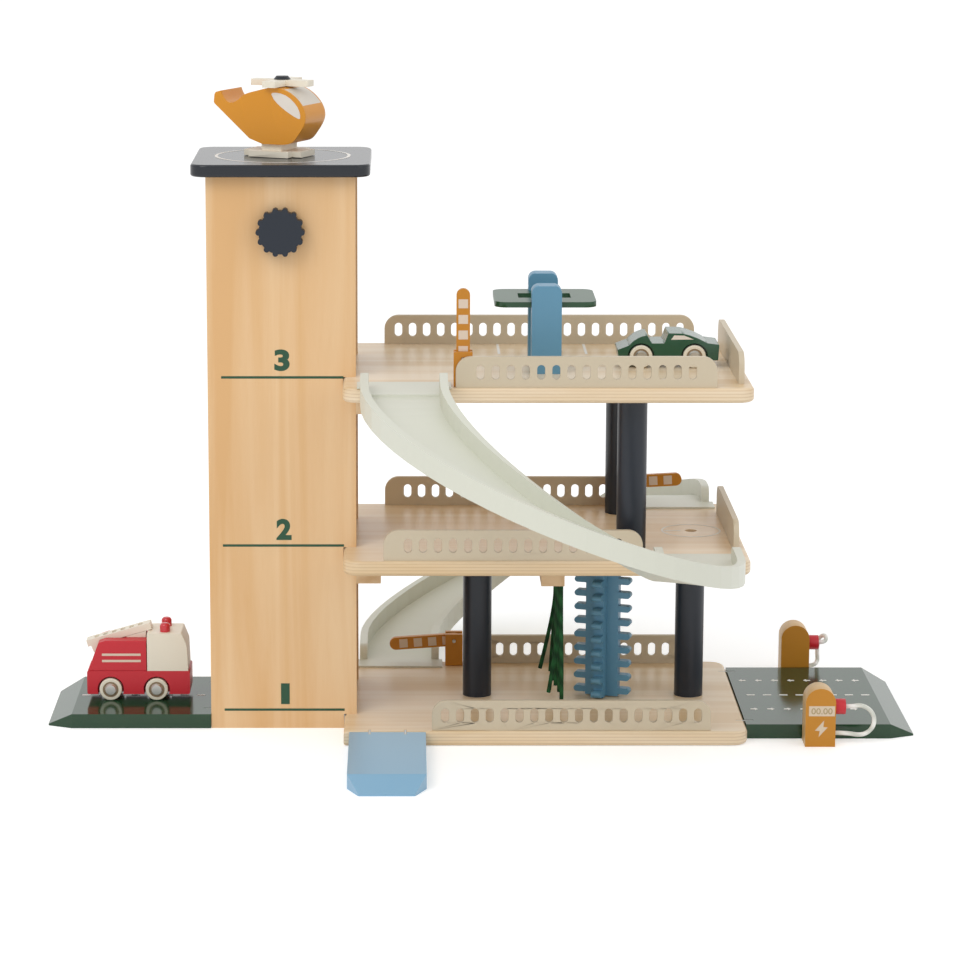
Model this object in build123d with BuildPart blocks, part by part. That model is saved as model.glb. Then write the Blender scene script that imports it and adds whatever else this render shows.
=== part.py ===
from build123d import *
import math
import os

os.makedirs("parts", exist_ok=True)

# Toy parking garage with lift. Millimetres, +Z up, front towards -Y.
# The origin is the centre of the base deck's underside.

# ---------------------------------------------------------------- driving sizes
# clearances
running_gap = 0.3          # between bodies that move past each other
joint_gap = 0.1            # round glued tabs and spigots
pin_clearance = 0.05       # radial, round pins that turn

# plywood decks
deck_length = 328.0
deck_depth = 230.0
deck_thickness = 12.0
deck_corner = 13.0
deck_round = 3.0
storey_pitch = 141.0

# lift tower
tower_side = 120.0
tower_height = 457.0
panel_thickness = 9.0
notch_depth = 10.0         # how far the decks reach into the tower panels
notch_gap = 0.5
door_width = 66.0
door_height = 84.0
roof_side = 144.0
roof_thickness = 10.0
roof_corner = 13.0

# lift cabin and its winding gear
cabin_gap = 1.5            # to the tower panels and the decks
cabin_inside_height = 78.0
cabin_board = 5.0
floor_drop = 0.3           # cabin floor below the deck when the lift is down
crank_height = 413.0
axle_radius = 4.0
spool_radius = 11.0
spool_flange_radius = 16.0
spool_length = 30.0
knob_radius = 17.4
knob_tooth_radius = 2.3
knob_teeth = 14
knob_thickness = 10.0
knob_standoff = 3.5
axle_head_radius = 7.0
axle_head_thickness = 4.0
cord_radius = 1.0
cord_knot_radius = 3.0

# fences
fence_thickness = 4.5
fence_height = 25.0
fence_corner = 12.0
fence_inset = 4.0
side_fence_inset = 7.0
fence_hole_width = 6.4
fence_hole_height = 11.8
fence_hole_pitch = 12.05
tab_length = 20.0
tab_depth = 6.0
fence_holes = 15
fence_end_margin = 19.6
base_front_fence_holes = 18
base_front_fence_margin = 10.6
top_back_fence_holes = 21
top_back_fence_margin = 12.0
top_side_fence_length = 188.0
middle_side_fence_length = 156.0
base_front_fence_x = 20.7
base_back_fence_x = 40.8
middle_fence_x = -27.5
top_front_fence_x = 30.0
top_back_fence_x = 0.8

# columns
column_radius = 12.0
spigot_radius = 4.0
spigot_length = 5.0
lower_column_left_x = -53.5
lower_column_right_x = 124.6
lower_column_y = 3.5
upper_column_x = 69.0
upper_column_y = 78.0

# battens under the decks
batten_height = 18.5
batten_width = 20.0
wash_bar_x = 6.5
wash_bar_width = 19.0
wash_bar_length = 140.0

# curved slides
slide_radius = 117.0       # half circle of the centre line
slide_straight = 43.8      # straight stretch out of each deck edge
slide_shift = 2.0
slide_width = 69.0
slide_wall = 6.5
slide_wall_height = 12.6   # above the landing at the top
slide_floor = 3.0
slide_step = 1.9           # down from the landing to the sliding floor
slide_landing = 30.0       # length of the landing at the top
slide_end_round = 8.0      # walls are rounded off at both ends
slide_lip_thickness = 1.5
slide_lip_length = 24.0
slide_lip_overhang = 3.0   # past the channel on each side
slide_top_run = 12.4       # level stretch at the top
slide_bottom_run = 41.6    # level stretch at the bottom
slide_stations = 33

# barriers
barrier_block_length = 15.0
barrier_block_depth = 15.0
barrier_block_height = 28.0
barrier_slot_width = 5.8
barrier_slot_depth = 25.0
barrier_pivot_height = 22.0
barrier_pin_radius = 1.5
barrier_arm_thickness = 5.0
barrier_arm_height = 10.8
barrier_arm_reach = 56.0
barrier_fence_gap = 0.2    # block to the fence that it stands against
base_barrier_y_inset = 10.0
base_barrier_x = -71.5
middle_barrier_x = 68.0
top_barrier_x = -68.0
base_barrier_droop = 4.0   # degrees below level
middle_barrier_lift = 3.0  # degrees above level

# car hoist on the top deck
hoist_x = 0.7
hoist_post_width = 24.4
hoist_post_depth = 18.0
hoist_post_height = 72.0
hoist_post_corner = 6.0
hoist_post_spread = 74.0
hoist_plate_length = 83.0
hoist_plate_shift = -0.5     # plate's middle from the posts' middle
hoist_plate_depth = 75.0
hoist_plate_thickness = 4.5
hoist_plate_corner = 10.0
hoist_plate_height = 57.8
hoist_window_length = 43.0
hoist_window_depth = 25.0
hoist_slot_gap = 0.35

# car wash brush
brush_x = 52.0
brush_y = 0.0
brush_width = 48.0
brush_spine = 28.0
brush_board = 8.0
brush_fins = 11
brush_fin_pitch = 11.8
brush_fin_height = 5.2
brush_turn = 17.7          # degrees, how the cross stands
brush_end_gap = 1.0
brush_pin_radius = 3.0
brush_pin_length = 5.0

# wash strands, under the bar
strand_radius = 1.7
strand_count = 7
strand_pitch = 17.0
strand_exit = 7.7          # from the bar's middle

# peg hole in the middle deck, straight above the right column
peg_hole_radius = 5.0
peg_hole_floor = 1.0       # wood left above the column's spigot

# road boards
road_thickness = 12.0
right_road_length = 118.0
right_road_width = 184.0
left_road_length = 115.0
left_road_width = 122.0
ramp_length = 120.0
ramp_width = 62.0
ramp_x = -128.4
bevel_length = 20.0
bevel_edge = 1.5
bevel_corner = 9.0
board_gap = 0.3
link_length = 14.0
link_width = 1.6
link_depth = 7.0
link_gap = 0.2
right_link_spread = 158.0
left_link_spread = 83.0
ramp_link_spread = 29.0

# chargers
charger_width = 24.4
charger_depth = 22.0
charger_height = 48.5
charger_plug_height = 31.0
charger_plug_radius = 6.3
charger_plug_length = 8.5
charger_peg_radius = 3.0
charger_peg_length = 7.0
charger_cord_height = 8.8
charger_cord_radius = 1.8
front_charger_x = 221.8
back_charger_x = 225.0
charger_road_gap = 3.0

# wheels of the two vehicles
wheel_radius = 9.4
wheel_width = 7.0
hub_radius = 5.2
hub_crown = 1.6
wheel_axle_radius = 1.25
wheel_well_gap = 1.6
axle_gap = 0.08

# sports car
car_x = 101.8
car_length = 83.6
car_width = 36.0
car_front_axle = -22.3     # from the car's middle
car_rear_axle = 21.5
car_clearance = 6.3        # under the body

# fire truck
truck_x = -337.0
truck_length = 86.0
truck_width = 36.0
truck_clearance = 5.3      # under the chassis
truck_chassis_height = 20.0
truck_rear_axle = -23.4
truck_front_axle = 15.1
tank_height = 26.0
cab_height = 32.2
cab_place = 50.4           # cab's back from the truck's back end
ladder_length = 55.6
ladder_width = 13.0
ladder_thickness = 5.5
ladder_tilt = 15.9
ladder_pin_radius = 1.5
ladder_pin_place = 12.5    # from the truck's back end
ladder_pin_depth = 13.0    # below the tank's top
ladder_lift = 8.1          # ladder's underside above its pin
ladder_overhang = 10.4     # behind the pin
lug_radius = 4.2
lug_sweep = 8.0            # room under the pin for the turning lug
groove_gap = 0.9           # under the ladder in its groove
beacon_radius = 4.3
beacon_height = 7.5
beacon_spread = 20.0

# helicopter
heli_thickness = 38.0
heli_height = 46.0         # body alone
heli_turn = -24.0
heli_skid_thickness = 5.0
heli_neck_height = 5.5
heli_skid_bar = 52.0
heli_skid_shift = -3.0
rotor_span = 52.0
rotor_blade = 12.0
rotor_thickness = 5.0
rotor_gap = 0.3
rotor_pin_radius = 2.5

# ---------------------------------------------------------------- worked-out places
deck_left = -deck_length / 2
deck_right = deck_length / 2
deck_front = -deck_depth / 2
deck_back = deck_depth / 2
base_under = 0.0
middle_under = storey_pitch
top_under = 2 * storey_pitch
base_top = base_under + deck_thickness
middle_top = middle_under + deck_thickness
top_top = top_under + deck_thickness

tower_right = deck_left + notch_depth
tower_x = tower_right - tower_side / 2
tower_left = tower_right - tower_side
tower_front = -tower_side / 2
shaft_depth = tower_side - 2 * panel_thickness
shaft_left = tower_left + panel_thickness
roof_top = tower_height + roof_thickness

fence_y = deck_back - fence_inset - fence_thickness / 2
side_fence_x = deck_right - side_fence_inset - fence_thickness / 2
barrier_y = fence_y - fence_thickness / 2 - barrier_fence_gap - barrier_block_depth / 2
standard_fence_length = (fence_holes - 1) * fence_hole_pitch + 2 * fence_end_margin
base_front_length = (base_front_fence_holes - 1) * fence_hole_pitch + 2 * base_front_fence_margin
top_back_length = (top_back_fence_holes - 1) * fence_hole_pitch + 2 * top_back_fence_margin


# ---------------------------------------------------------------- decks
def deck_board(underside, rounded_corners):
    """A plywood deck with rounded corners and rolled-over top and bottom edges."""
    with BuildPart() as board:
        with BuildSketch(Plane.XY.offset(underside)) as outline:
            Rectangle(deck_length, deck_depth)
            corners = outline.vertices().sort_by(Axis.Y).sort_by(Axis.X)
            chosen = [v for v in corners if (v.X > 0, v.Y > 0) in rounded_corners]
            fillet(chosen, radius=deck_corner)
        extrude(amount=deck_thickness)
        rims = board.edges().group_by(Axis.Z)
        fillet(rims[0] + rims[-1], radius=deck_round)
    return board


all_corners = [(False, False), (False, True), (True, False), (True, True)]
base_fence_places = [
    (base_front_fence_x, -fence_y, base_front_length, base_front_fence_holes, 0),
    (base_back_fence_x, fence_y, standard_fence_length, fence_holes, 0),
]
middle_fence_places = [
    (middle_fence_x, -fence_y, standard_fence_length, fence_holes, 0),
    (middle_fence_x, fence_y, standard_fence_length, fence_holes, 0),
    (side_fence_x, 0, middle_side_fence_length, 0, 90),
]
top_fence_places = [
    (top_front_fence_x, -fence_y, standard_fence_length, fence_holes, 0),
    (top_back_fence_x, fence_y, top_back_length, top_back_fence_holes, 0),
    (side_fence_x, 0, top_side_fence_length, 0, 90),
]
lower_column_places = [
    (lower_column_left_x, lower_column_y),
    (lower_column_right_x, lower_column_y),
]
upper_column_places = [
    (upper_column_x, -upper_column_y),
    (upper_column_x, upper_column_y),
]


def tab_places(places):
    """Where the fences' tabs go: two each, a quarter of the length from the middle."""
    spots = []
    for x, y, length, holes, turn in places:
        for side in (-1, 1):
            along = side * length / 4
            dx = along * math.cos(math.radians(turn))
            dy = along * math.sin(math.radians(turn))
            spots.append(Location((x + dx, y + dy, 0), (0, 0, turn)))
    return spots


def cut_mortises(board, deck_top, places):
    """Mortises for the fences' tabs."""
    with BuildPart() as cut:
        add(board.part)
        with BuildSketch(Plane.XY.offset(deck_top)):
            with Locations(tab_places(places)):
                Rectangle(tab_length + 2 * joint_gap, fence_thickness + 2 * joint_gap)
        extrude(amount=-(tab_depth + joint_gap), mode=Mode.SUBTRACT)
    return cut


def cut_sockets(board, plane_height, depth, places, radius):
    """Round blind sockets, cut downwards from a plane (negative depth cuts upwards)."""
    with BuildPart() as cut:
        add(board.part)
        with BuildSketch(Plane.XY.offset(plane_height)):
            with Locations(places):
                Circle(radius)
        extrude(amount=-depth, mode=Mode.SUBTRACT)
    return cut


socket_radius = spigot_radius + joint_gap
socket_depth = spigot_length + joint_gap
brush_socket_radius = brush_pin_radius + pin_clearance
brush_socket_depth = brush_pin_length + joint_gap

blind_kerf = link_depth + link_gap
right_link_places = [(deck_right, side * right_link_spread / 2) for side in (-1, 1)]
left_link_places = [(tower_left, side * left_link_spread / 2) for side in (-1, 1)]
ramp_link_places = [(ramp_x + side * ramp_link_spread / 2, deck_front) for side in (-1, 1)]


def cut_kerfs(board, board_top, depth):
    """Narrow saw kerfs that take the steel link plates between neighbouring boards."""
    with BuildPart() as cut:
        add(board.part)
        with BuildSketch(Plane.XY.offset(board_top)):
            with Locations(right_link_places + left_link_places):
                Rectangle(link_length + 2 * link_gap, link_width + 2 * link_gap)
            with Locations(ramp_link_places):
                Rectangle(link_width + 2 * link_gap, link_length + 2 * link_gap)
        extrude(amount=-depth, mode=Mode.SUBTRACT)
    return cut


base_board = deck_board(base_under, [(False, True), (True, False), (True, True)])
base_board = cut_mortises(base_board, base_top, base_fence_places)
base_board = cut_sockets(base_board, base_top, socket_depth, lower_column_places, socket_radius)
base_board = cut_sockets(
    base_board, base_top, brush_socket_depth, [(brush_x, brush_y)], brush_socket_radius
)
base_deck = cut_kerfs(base_board, base_top, blind_kerf)
base_deck.part.label = "base_deck"
export_step(base_deck.part, "parts/base_deck.step")

middle_board = deck_board(middle_under, all_corners)
middle_board = cut_mortises(middle_board, middle_top, middle_fence_places)
middle_board = cut_sockets(
    middle_board, middle_under, -socket_depth, lower_column_places, socket_radius
)
middle_board = cut_sockets(
    middle_board, middle_top, socket_depth, upper_column_places, socket_radius
)
middle_board = cut_sockets(
    middle_board, middle_under, -brush_socket_depth, [(brush_x, brush_y)], brush_socket_radius
)
middle_deck = cut_sockets(
    middle_board,
    middle_top,
    deck_thickness - spigot_length - peg_hole_floor,
    [(lower_column_right_x, lower_column_y)],
    peg_hole_radius,
)
middle_deck.part.label = "middle_deck"
export_step(middle_deck.part, "parts/middle_deck.step")

hoist_places = [
    (hoist_x, -hoist_post_spread / 2),
    (hoist_x, hoist_post_spread / 2),
]
top_board = deck_board(top_under, all_corners)
top_board = cut_mortises(top_board, top_top, top_fence_places)
top_board = cut_sockets(top_board, top_under, -socket_depth, upper_column_places, socket_radius)
top_deck = cut_sockets(top_board, top_top, socket_depth, hoist_places, socket_radius)
top_deck.part.label = "top_deck"
export_step(top_deck.part, "parts/top_deck.step")


# ---------------------------------------------------------------- fences
def fence(deck_top, place):
    """A low plywood fence with pill-shaped holes and two tabs that go into the deck."""
    x, y, length, holes, turn = place
    with BuildPart() as board:
        with BuildSketch(Plane.XZ) as outline:
            with Locations((0, fence_height / 2)):
                Rectangle(length, fence_height)
            fillet(outline.vertices().group_by(Axis.Y)[-1], radius=fence_corner)
            with Locations((-length / 4, -tab_depth / 2), (length / 4, -tab_depth / 2)):
                Rectangle(tab_length, tab_depth)
            if holes > 0:
                with Locations((0, fence_height / 2)):
                    with GridLocations(fence_hole_pitch, 1, holes, 1):
                        SlotOverall(
                            fence_hole_height, fence_hole_width, rotation=90, mode=Mode.SUBTRACT
                        )
        extrude(amount=fence_thickness / 2, both=True)
    return board.part.moved(Location((x, y, deck_top), (0, 0, turn)))


with BuildPart() as base_fences:
    for place in base_fence_places:
        add(fence(base_top, place))
base_fences.part.label = "base_fences"
export_step(base_fences.part, "parts/base_fences.step")

with BuildPart() as middle_fences:
    for place in middle_fence_places:
        add(fence(middle_top, place))
middle_fences.part.label = "middle_fences"
export_step(middle_fences.part, "parts/middle_fences.step")

with BuildPart() as top_fences:
    for place in top_fence_places:
        add(fence(top_top, place))
top_fences.part.label = "top_fences"
export_step(top_fences.part, "parts/top_fences.step")


# ---------------------------------------------------------------- columns
# Round columns between two decks, with a spigot at each end.
column_height = storey_pitch - deck_thickness
with BuildPart() as columns:
    for deck_top, places in ((base_top, lower_column_places), (middle_top, upper_column_places)):
        with BuildSketch(Plane.XY.offset(deck_top)):
            with Locations(places):
                Circle(column_radius)
        extrude(amount=column_height)
        with BuildSketch(Plane.XY.offset(deck_top - spigot_length)):
            with Locations(places):
                Circle(spigot_radius)
        extrude(amount=column_height + 2 * spigot_length)
columns.part.label = "columns"
export_step(columns.part, "parts/columns.step")

# ---------------------------------------------------------------- battens under the decks
# Two at the lift shaft, and the bar that the wash strands hang from.
with BuildPart() as deck_battens:
    for underside in (middle_under, top_under):
        with Locations((tower_right, 0, underside)):
            Box(batten_width, tower_side, batten_height, align=(Align.MIN, Align.CENTER, Align.MAX))
    with Locations((wash_bar_x, 0, middle_under)):
        Box(
            wash_bar_width,
            wash_bar_length,
            batten_height,
            align=(Align.CENTER, Align.CENTER, Align.MAX),
        )
deck_battens.part.label = "deck_battens"
export_step(deck_battens.part, "parts/deck_battens.step")

# ---------------------------------------------------------------- lift tower
crank_bore = axle_radius + pin_clearance


def tower_face(y_centre):
    """The front or back tower panel: notched for the decks, bored for the crank axle."""
    with BuildPart() as panel:
        with BuildSketch(Plane.XZ.offset(-y_centre)):
            with Locations((tower_x, tower_height / 2)):
                Rectangle(tower_side, tower_height)
            for underside in (base_under, middle_under, top_under):
                with Locations((tower_right, underside)):
                    Rectangle(
                        notch_depth + notch_gap,
                        deck_thickness,
                        align=(Align.MAX, Align.MIN),
                        mode=Mode.SUBTRACT,
                    )
            with Locations((tower_x, crank_height)):
                Circle(crank_bore, mode=Mode.SUBTRACT)
        extrude(amount=panel_thickness / 2, both=True)
    return panel


panel_y = tower_side / 2 - panel_thickness / 2
tower_front_panel = tower_face(-panel_y)
tower_front_panel.part.label = "tower_front_panel"
export_step(tower_front_panel.part, "parts/tower_front_panel.step")

tower_back_panel = tower_face(panel_y)
tower_back_panel.part.label = "tower_back_panel"
export_step(tower_back_panel.part, "parts/tower_back_panel.step")

with BuildPart() as tower_left_board:
    with BuildSketch(Plane.YZ.offset(tower_left)):
        with Locations((0, tower_height / 2)):
            Rectangle(shaft_depth, tower_height)
        with Locations((0, road_thickness + (door_height - door_width / 2) / 2)):
            Rectangle(door_width, door_height - door_width / 2, mode=Mode.SUBTRACT)
        with Locations((0, road_thickness + door_height - door_width / 2)):
            Circle(door_width / 2, mode=Mode.SUBTRACT)
    extrude(amount=panel_thickness)
tower_left_panel = cut_kerfs(tower_left_board, road_thickness, blind_kerf)
tower_left_panel.part.label = "tower_left_panel"
export_step(tower_left_panel.part, "parts/tower_left_panel.step")

with BuildPart() as tower_roof:
    with BuildSketch(Plane.XY.offset(tower_height)) as roof_outline:
        with Locations((tower_x, 0)):
            Rectangle(roof_side, roof_side)
        fillet(roof_outline.vertices(), radius=roof_corner)
    extrude(amount=roof_thickness)
    roof_rims = tower_roof.edges().group_by(Axis.Z)
    fillet(roof_rims[0] + roof_rims[-1], radius=2)
tower_roof.part.label = "tower_roof"
export_step(tower_roof.part, "parts/tower_roof.step")

# ---------------------------------------------------------------- lift cabin
cabin_left = shaft_left + cabin_gap
cabin_right = deck_left - cabin_gap
cabin_depth = shaft_depth - 2 * cabin_gap
cabin_length = cabin_right - cabin_left
cabin_x = (cabin_left + cabin_right) / 2
cabin_floor_top = base_top - floor_drop
cabin_floor_under = cabin_floor_top - cabin_board
cabin_roof_under = cabin_floor_top + cabin_inside_height
cabin_roof_top = cabin_roof_under + cabin_board
cord_x = tower_x + spool_radius + cord_radius + joint_gap

with BuildPart() as lift_floor:
    with Locations((cabin_x, 0, cabin_floor_under)):
        Box(cabin_length, cabin_depth, cabin_board, align=(Align.CENTER, Align.CENTER, Align.MIN))
lift_floor.part.label = "lift_floor"
export_step(lift_floor.part, "parts/lift_floor.step")

with BuildPart() as lift_cabin:
    with Locations((cabin_x, 0, cabin_floor_top)):
        Box(
            cabin_length,
            cabin_depth,
            cabin_inside_height + cabin_board,
            align=(Align.CENTER, Align.CENTER, Align.MIN),
        )
        Box(
            cabin_length,
            cabin_depth - 2 * cabin_board,
            cabin_inside_height,
            align=(Align.CENTER, Align.CENTER, Align.MIN),
            mode=Mode.SUBTRACT,
        )
    with Locations((cord_x, 0, cabin_roof_top)):
        Hole(cord_radius + 2 * joint_gap, depth=2 * cabin_board)
lift_cabin.part.label = "lift_cabin"
export_step(lift_cabin.part, "parts/lift_cabin.step")

# The cord hangs from the spool and ends in a knot under the cabin roof.
with BuildPart() as lift_cord:
    with BuildSketch(Plane.XY.offset(cabin_roof_under - 2 * cord_knot_radius)):
        with Locations((cord_x, 0)):
            Circle(cord_radius)
    extrude(amount=crank_height - cabin_roof_under + 2 * cord_knot_radius)
    with Locations((cord_x, 0, cabin_roof_under - cord_knot_radius - joint_gap)):
        Sphere(cord_knot_radius)
lift_cord.part.label = "lift_cord"
export_step(lift_cord.part, "parts/lift_cord.step")

# ---------------------------------------------------------------- crank
knob_back = tower_front - knob_standoff
knob_front = knob_back - knob_thickness
axle_blind = knob_thickness * 0.6
axle_front = knob_back - axle_blind
axle_back = tower_side / 2 + running_gap

with BuildPart() as crank_knob:
    with BuildSketch(Plane.XZ.offset(-knob_back)):
        with Locations((tower_x, crank_height)):
            Circle(knob_radius)
            with PolarLocations(knob_radius, knob_teeth):
                Circle(knob_tooth_radius)
    extrude(amount=knob_thickness)
    with BuildSketch(Plane.XZ.offset(-knob_back)):
        with Locations((tower_x, crank_height)):
            Circle(axle_radius + pin_clearance)
    extrude(amount=axle_blind + joint_gap, mode=Mode.SUBTRACT)
crank_knob.part.label = "crank_knob"
export_step(crank_knob.part, "parts/crank_knob.step")

with BuildPart() as crank_axle:
    with BuildSketch(Plane.XZ.offset(-axle_back)):
        with Locations((tower_x, crank_height)):
            Circle(axle_radius)
    extrude(amount=axle_back - axle_front)
    with BuildSketch(Plane.XZ.offset(-axle_back - axle_head_thickness)):
        with Locations((tower_x, crank_height)):
            Circle(axle_head_radius)
    extrude(amount=axle_head_thickness)
crank_axle.part.label = "crank_axle"
export_step(crank_axle.part, "parts/crank_axle.step")

with BuildPart() as cord_spool:
    with BuildSketch(Plane.XZ.offset(-spool_length / 2)):
        with Locations((tower_x, crank_height)):
            Circle(spool_flange_radius)
    extrude(amount=spool_length)
    with BuildSketch(Plane.XZ.offset(-spool_length / 2 + 3)):
        with Locations((tower_x, crank_height)):
            Circle(spool_flange_radius)
            Circle(spool_radius, mode=Mode.SUBTRACT)
    extrude(amount=spool_length - 6, mode=Mode.SUBTRACT)
    with BuildSketch(Plane.XZ.offset(-spool_length / 2)):
        with Locations((tower_x, crank_height)):
            Circle(axle_radius + pin_clearance)
    extrude(amount=spool_length, mode=Mode.SUBTRACT)
cord_spool.part.label = "cord_spool"
export_step(cord_spool.part, "parts/cord_spool.step")

# ---------------------------------------------------------------- slides
slide_drop = storey_pitch
slide_end_depth = deck_thickness + slide_lip_thickness
slide_path = 2 * slide_straight + math.pi * slide_radius
slide_start_y = deck_front - joint_gap


def smooth_step(value):
    """0 to 1 with level ends."""
    held = min(max(value, 0.0), 1.0)
    return held * held * (3 - 2 * held)


def slide_section(along):
    """The channel's cross-section at a place along the path, as a closed outline."""
    if along <= slide_straight:
        centre = Vector(slide_shift - slide_radius, slide_start_y - along, 0)
        outward = Vector(-1, 0, 0)
    elif along >= slide_path - slide_straight:
        centre = Vector(slide_shift + slide_radius, slide_start_y - (slide_path - along), 0)
        outward = Vector(1, 0, 0)
    else:
        angle = math.pi + (along - slide_straight) / slide_radius
        outward = Vector(math.cos(angle), math.sin(angle), 0)
        centre = Vector(slide_shift, slide_start_y - slide_straight, 0) + outward * slide_radius
    travel = slide_path - slide_top_run - slide_bottom_run
    fallen = slide_drop * smooth_step((along - slide_top_run) / travel)
    landing = top_top + slide_lip_thickness - fallen
    near_end = min(along, slide_path - along) / slide_straight
    floor_depth = slide_step + slide_floor
    depth = floor_depth + (slide_end_depth - floor_depth) * (1 - smooth_step(near_end))
    step = 0.0
    if along > slide_landing:
        step = slide_step * smooth_step((slide_path - along) / slide_straight)
    half = slide_width / 2
    inner = half - slide_wall
    corners = [
        (-half, -depth),
        (half, -depth),
        (half, slide_wall_height),
        (inner, slide_wall_height),
        (inner, -step),
        (-inner, -step),
        (-inner, slide_wall_height),
        (-half, slide_wall_height),
    ]
    points = [centre + outward * across + Vector(0, 0, landing + up) for across, up in corners]
    return Face(Wire(Polyline(*points, close=True).edges()))


slide_places = [slide_path * step / (slide_stations - 1) for step in range(slide_stations)]
slide_places += [slide_landing, slide_landing + running_gap]
slide_sections = [slide_section(along) for along in sorted(slide_places)]

with BuildPart() as front_slide:
    loft(sections=slide_sections, ruled=True)
    end_edges = front_slide.edges().filter_by(Axis.X).group_by(Axis.Y)[-1]
    wall_ends = [e for e in end_edges if abs(e.length - slide_wall) < joint_gap]
    fillet(wall_ends, radius=slide_end_round)
    for end, deck_top in ((-1, top_top), (1, middle_top)):
        with Locations((slide_shift + end * slide_radius, slide_start_y, deck_top)):
            Box(
                slide_width + 2 * slide_lip_overhang,
                slide_lip_length,
                slide_lip_thickness,
                align=(Align.CENTER, Align.MIN, Align.MIN),
            )
front_slide.part.label = "front_slide"
export_step(front_slide.part, "parts/front_slide.step")

with BuildPart() as back_slide:
    with Locations(Location((0, 0, -storey_pitch), (0, 0, 180))):
        add(front_slide.part)
back_slide.part.label = "back_slide"
export_step(back_slide.part, "parts/back_slide.step")

# ---------------------------------------------------------------- barriers
# name, x, y, deck top, direction of the arm at rest in degrees from +X towards +Z
barrier_places = [
    ("base", base_barrier_x, deck_back - base_barrier_y_inset, base_top, 180 + base_barrier_droop),
    ("middle", middle_barrier_x, barrier_y, middle_top, middle_barrier_lift),
    ("top", top_barrier_x, -barrier_y, top_top, 90),
]

with BuildPart() as barrier_posts:
    for name, x, y, deck_top, rest_angle in barrier_places:
        with BuildSketch(Plane.XY.offset(deck_top)):
            with Locations((x, y)):
                Rectangle(barrier_block_length, barrier_block_depth)
        extrude(amount=barrier_block_height)
        with BuildSketch(Plane.XY.offset(deck_top + barrier_block_height)):
            with Locations((x, y)):
                Rectangle(barrier_block_length, barrier_slot_width)
        extrude(amount=-barrier_slot_depth, mode=Mode.SUBTRACT)
        with BuildSketch(Plane.XZ.offset(-y)):
            with Locations((x, deck_top + barrier_pivot_height)):
                Circle(barrier_pin_radius + joint_gap)
        extrude(amount=barrier_block_depth / 2, both=True, mode=Mode.SUBTRACT)
barrier_posts.part.label = "barrier_posts"
export_step(barrier_posts.part, "parts/barrier_posts.step")

with BuildPart() as barrier_pins:
    for name, x, y, deck_top, rest_angle in barrier_places:
        with BuildSketch(Plane.XZ.offset(-y)):
            with Locations((x, deck_top + barrier_pivot_height)):
                Circle(barrier_pin_radius)
        extrude(amount=barrier_block_depth / 2, both=True)
barrier_pins.part.label = "barrier_pins"
export_step(barrier_pins.part, "parts/barrier_pins.step")

for name, x, y, deck_top, rest_angle in barrier_places:
    aim = Vector(math.cos(math.radians(rest_angle)), 0, math.sin(math.radians(rest_angle)))
    pivot = (x, y, deck_top + barrier_pivot_height)
    with BuildPart() as barrier_arm:
        with BuildSketch(Plane(origin=pivot, x_dir=aim, z_dir=(0, -1, 0))):
            with Locations((barrier_arm_reach / 2 - barrier_arm_height / 4, 0)):
                SlotOverall(barrier_arm_reach + barrier_arm_height / 2, barrier_arm_height)
            Circle(barrier_pin_radius + pin_clearance, mode=Mode.SUBTRACT)
        extrude(amount=barrier_arm_thickness / 2, both=True)
    barrier_arm.part.label = name + "_barrier_arm"
    export_step(barrier_arm.part, "parts/" + name + "_barrier_arm.step")

# ---------------------------------------------------------------- car hoist
with BuildPart() as hoist_posts:
    for x, y in hoist_places:
        with BuildSketch(Plane.XZ.offset(-y)) as post_outline:
            with Locations((x, top_top + hoist_post_height / 2)):
                Rectangle(hoist_post_width, hoist_post_height)
            fillet(post_outline.vertices().group_by(Axis.Y)[-1], radius=hoist_post_corner)
        extrude(amount=hoist_post_depth / 2, both=True)
    with BuildSketch(Plane.XY.offset(top_top - spigot_length)):
        with Locations(hoist_places):
            Circle(spigot_radius)
    extrude(amount=spigot_length + 1)
hoist_posts.part.label = "hoist_posts"
export_step(hoist_posts.part, "parts/hoist_posts.step")

hoist_post_inner = hoist_post_spread / 2 - hoist_post_depth / 2
hoist_notch_depth = hoist_plate_depth / 2 - hoist_post_inner + hoist_slot_gap

with BuildPart() as hoist_plate:
    with BuildSketch(Plane.XY.offset(top_top + hoist_plate_height)) as plate_outline:
        with Locations((hoist_x + hoist_plate_shift, 0)):
            Rectangle(hoist_plate_length, hoist_plate_depth)
        fillet(plate_outline.vertices(), radius=hoist_plate_corner)
        with Locations((hoist_x + hoist_plate_shift, 0)):
            Rectangle(hoist_window_length, hoist_window_depth, mode=Mode.SUBTRACT)
        for end, hold in ((-1, Align.MIN), (1, Align.MAX)):
            with Locations((hoist_x, end * hoist_plate_depth / 2)):
                Rectangle(
                    hoist_post_width + 2 * hoist_slot_gap,
                    hoist_notch_depth,
                    align=(Align.CENTER, hold),
                    mode=Mode.SUBTRACT,
                )
    extrude(amount=-hoist_plate_thickness)
hoist_plate.part.label = "hoist_plate"
export_step(hoist_plate.part, "parts/hoist_plate.step")

# ---------------------------------------------------------------- car wash
wash_height = storey_pitch - deck_thickness
brush_low = base_top + brush_end_gap
brush_high = middle_under - brush_end_gap
brush_first_fin = base_top + wash_height / 2 - (brush_fins - 1) * brush_fin_pitch / 2


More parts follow.
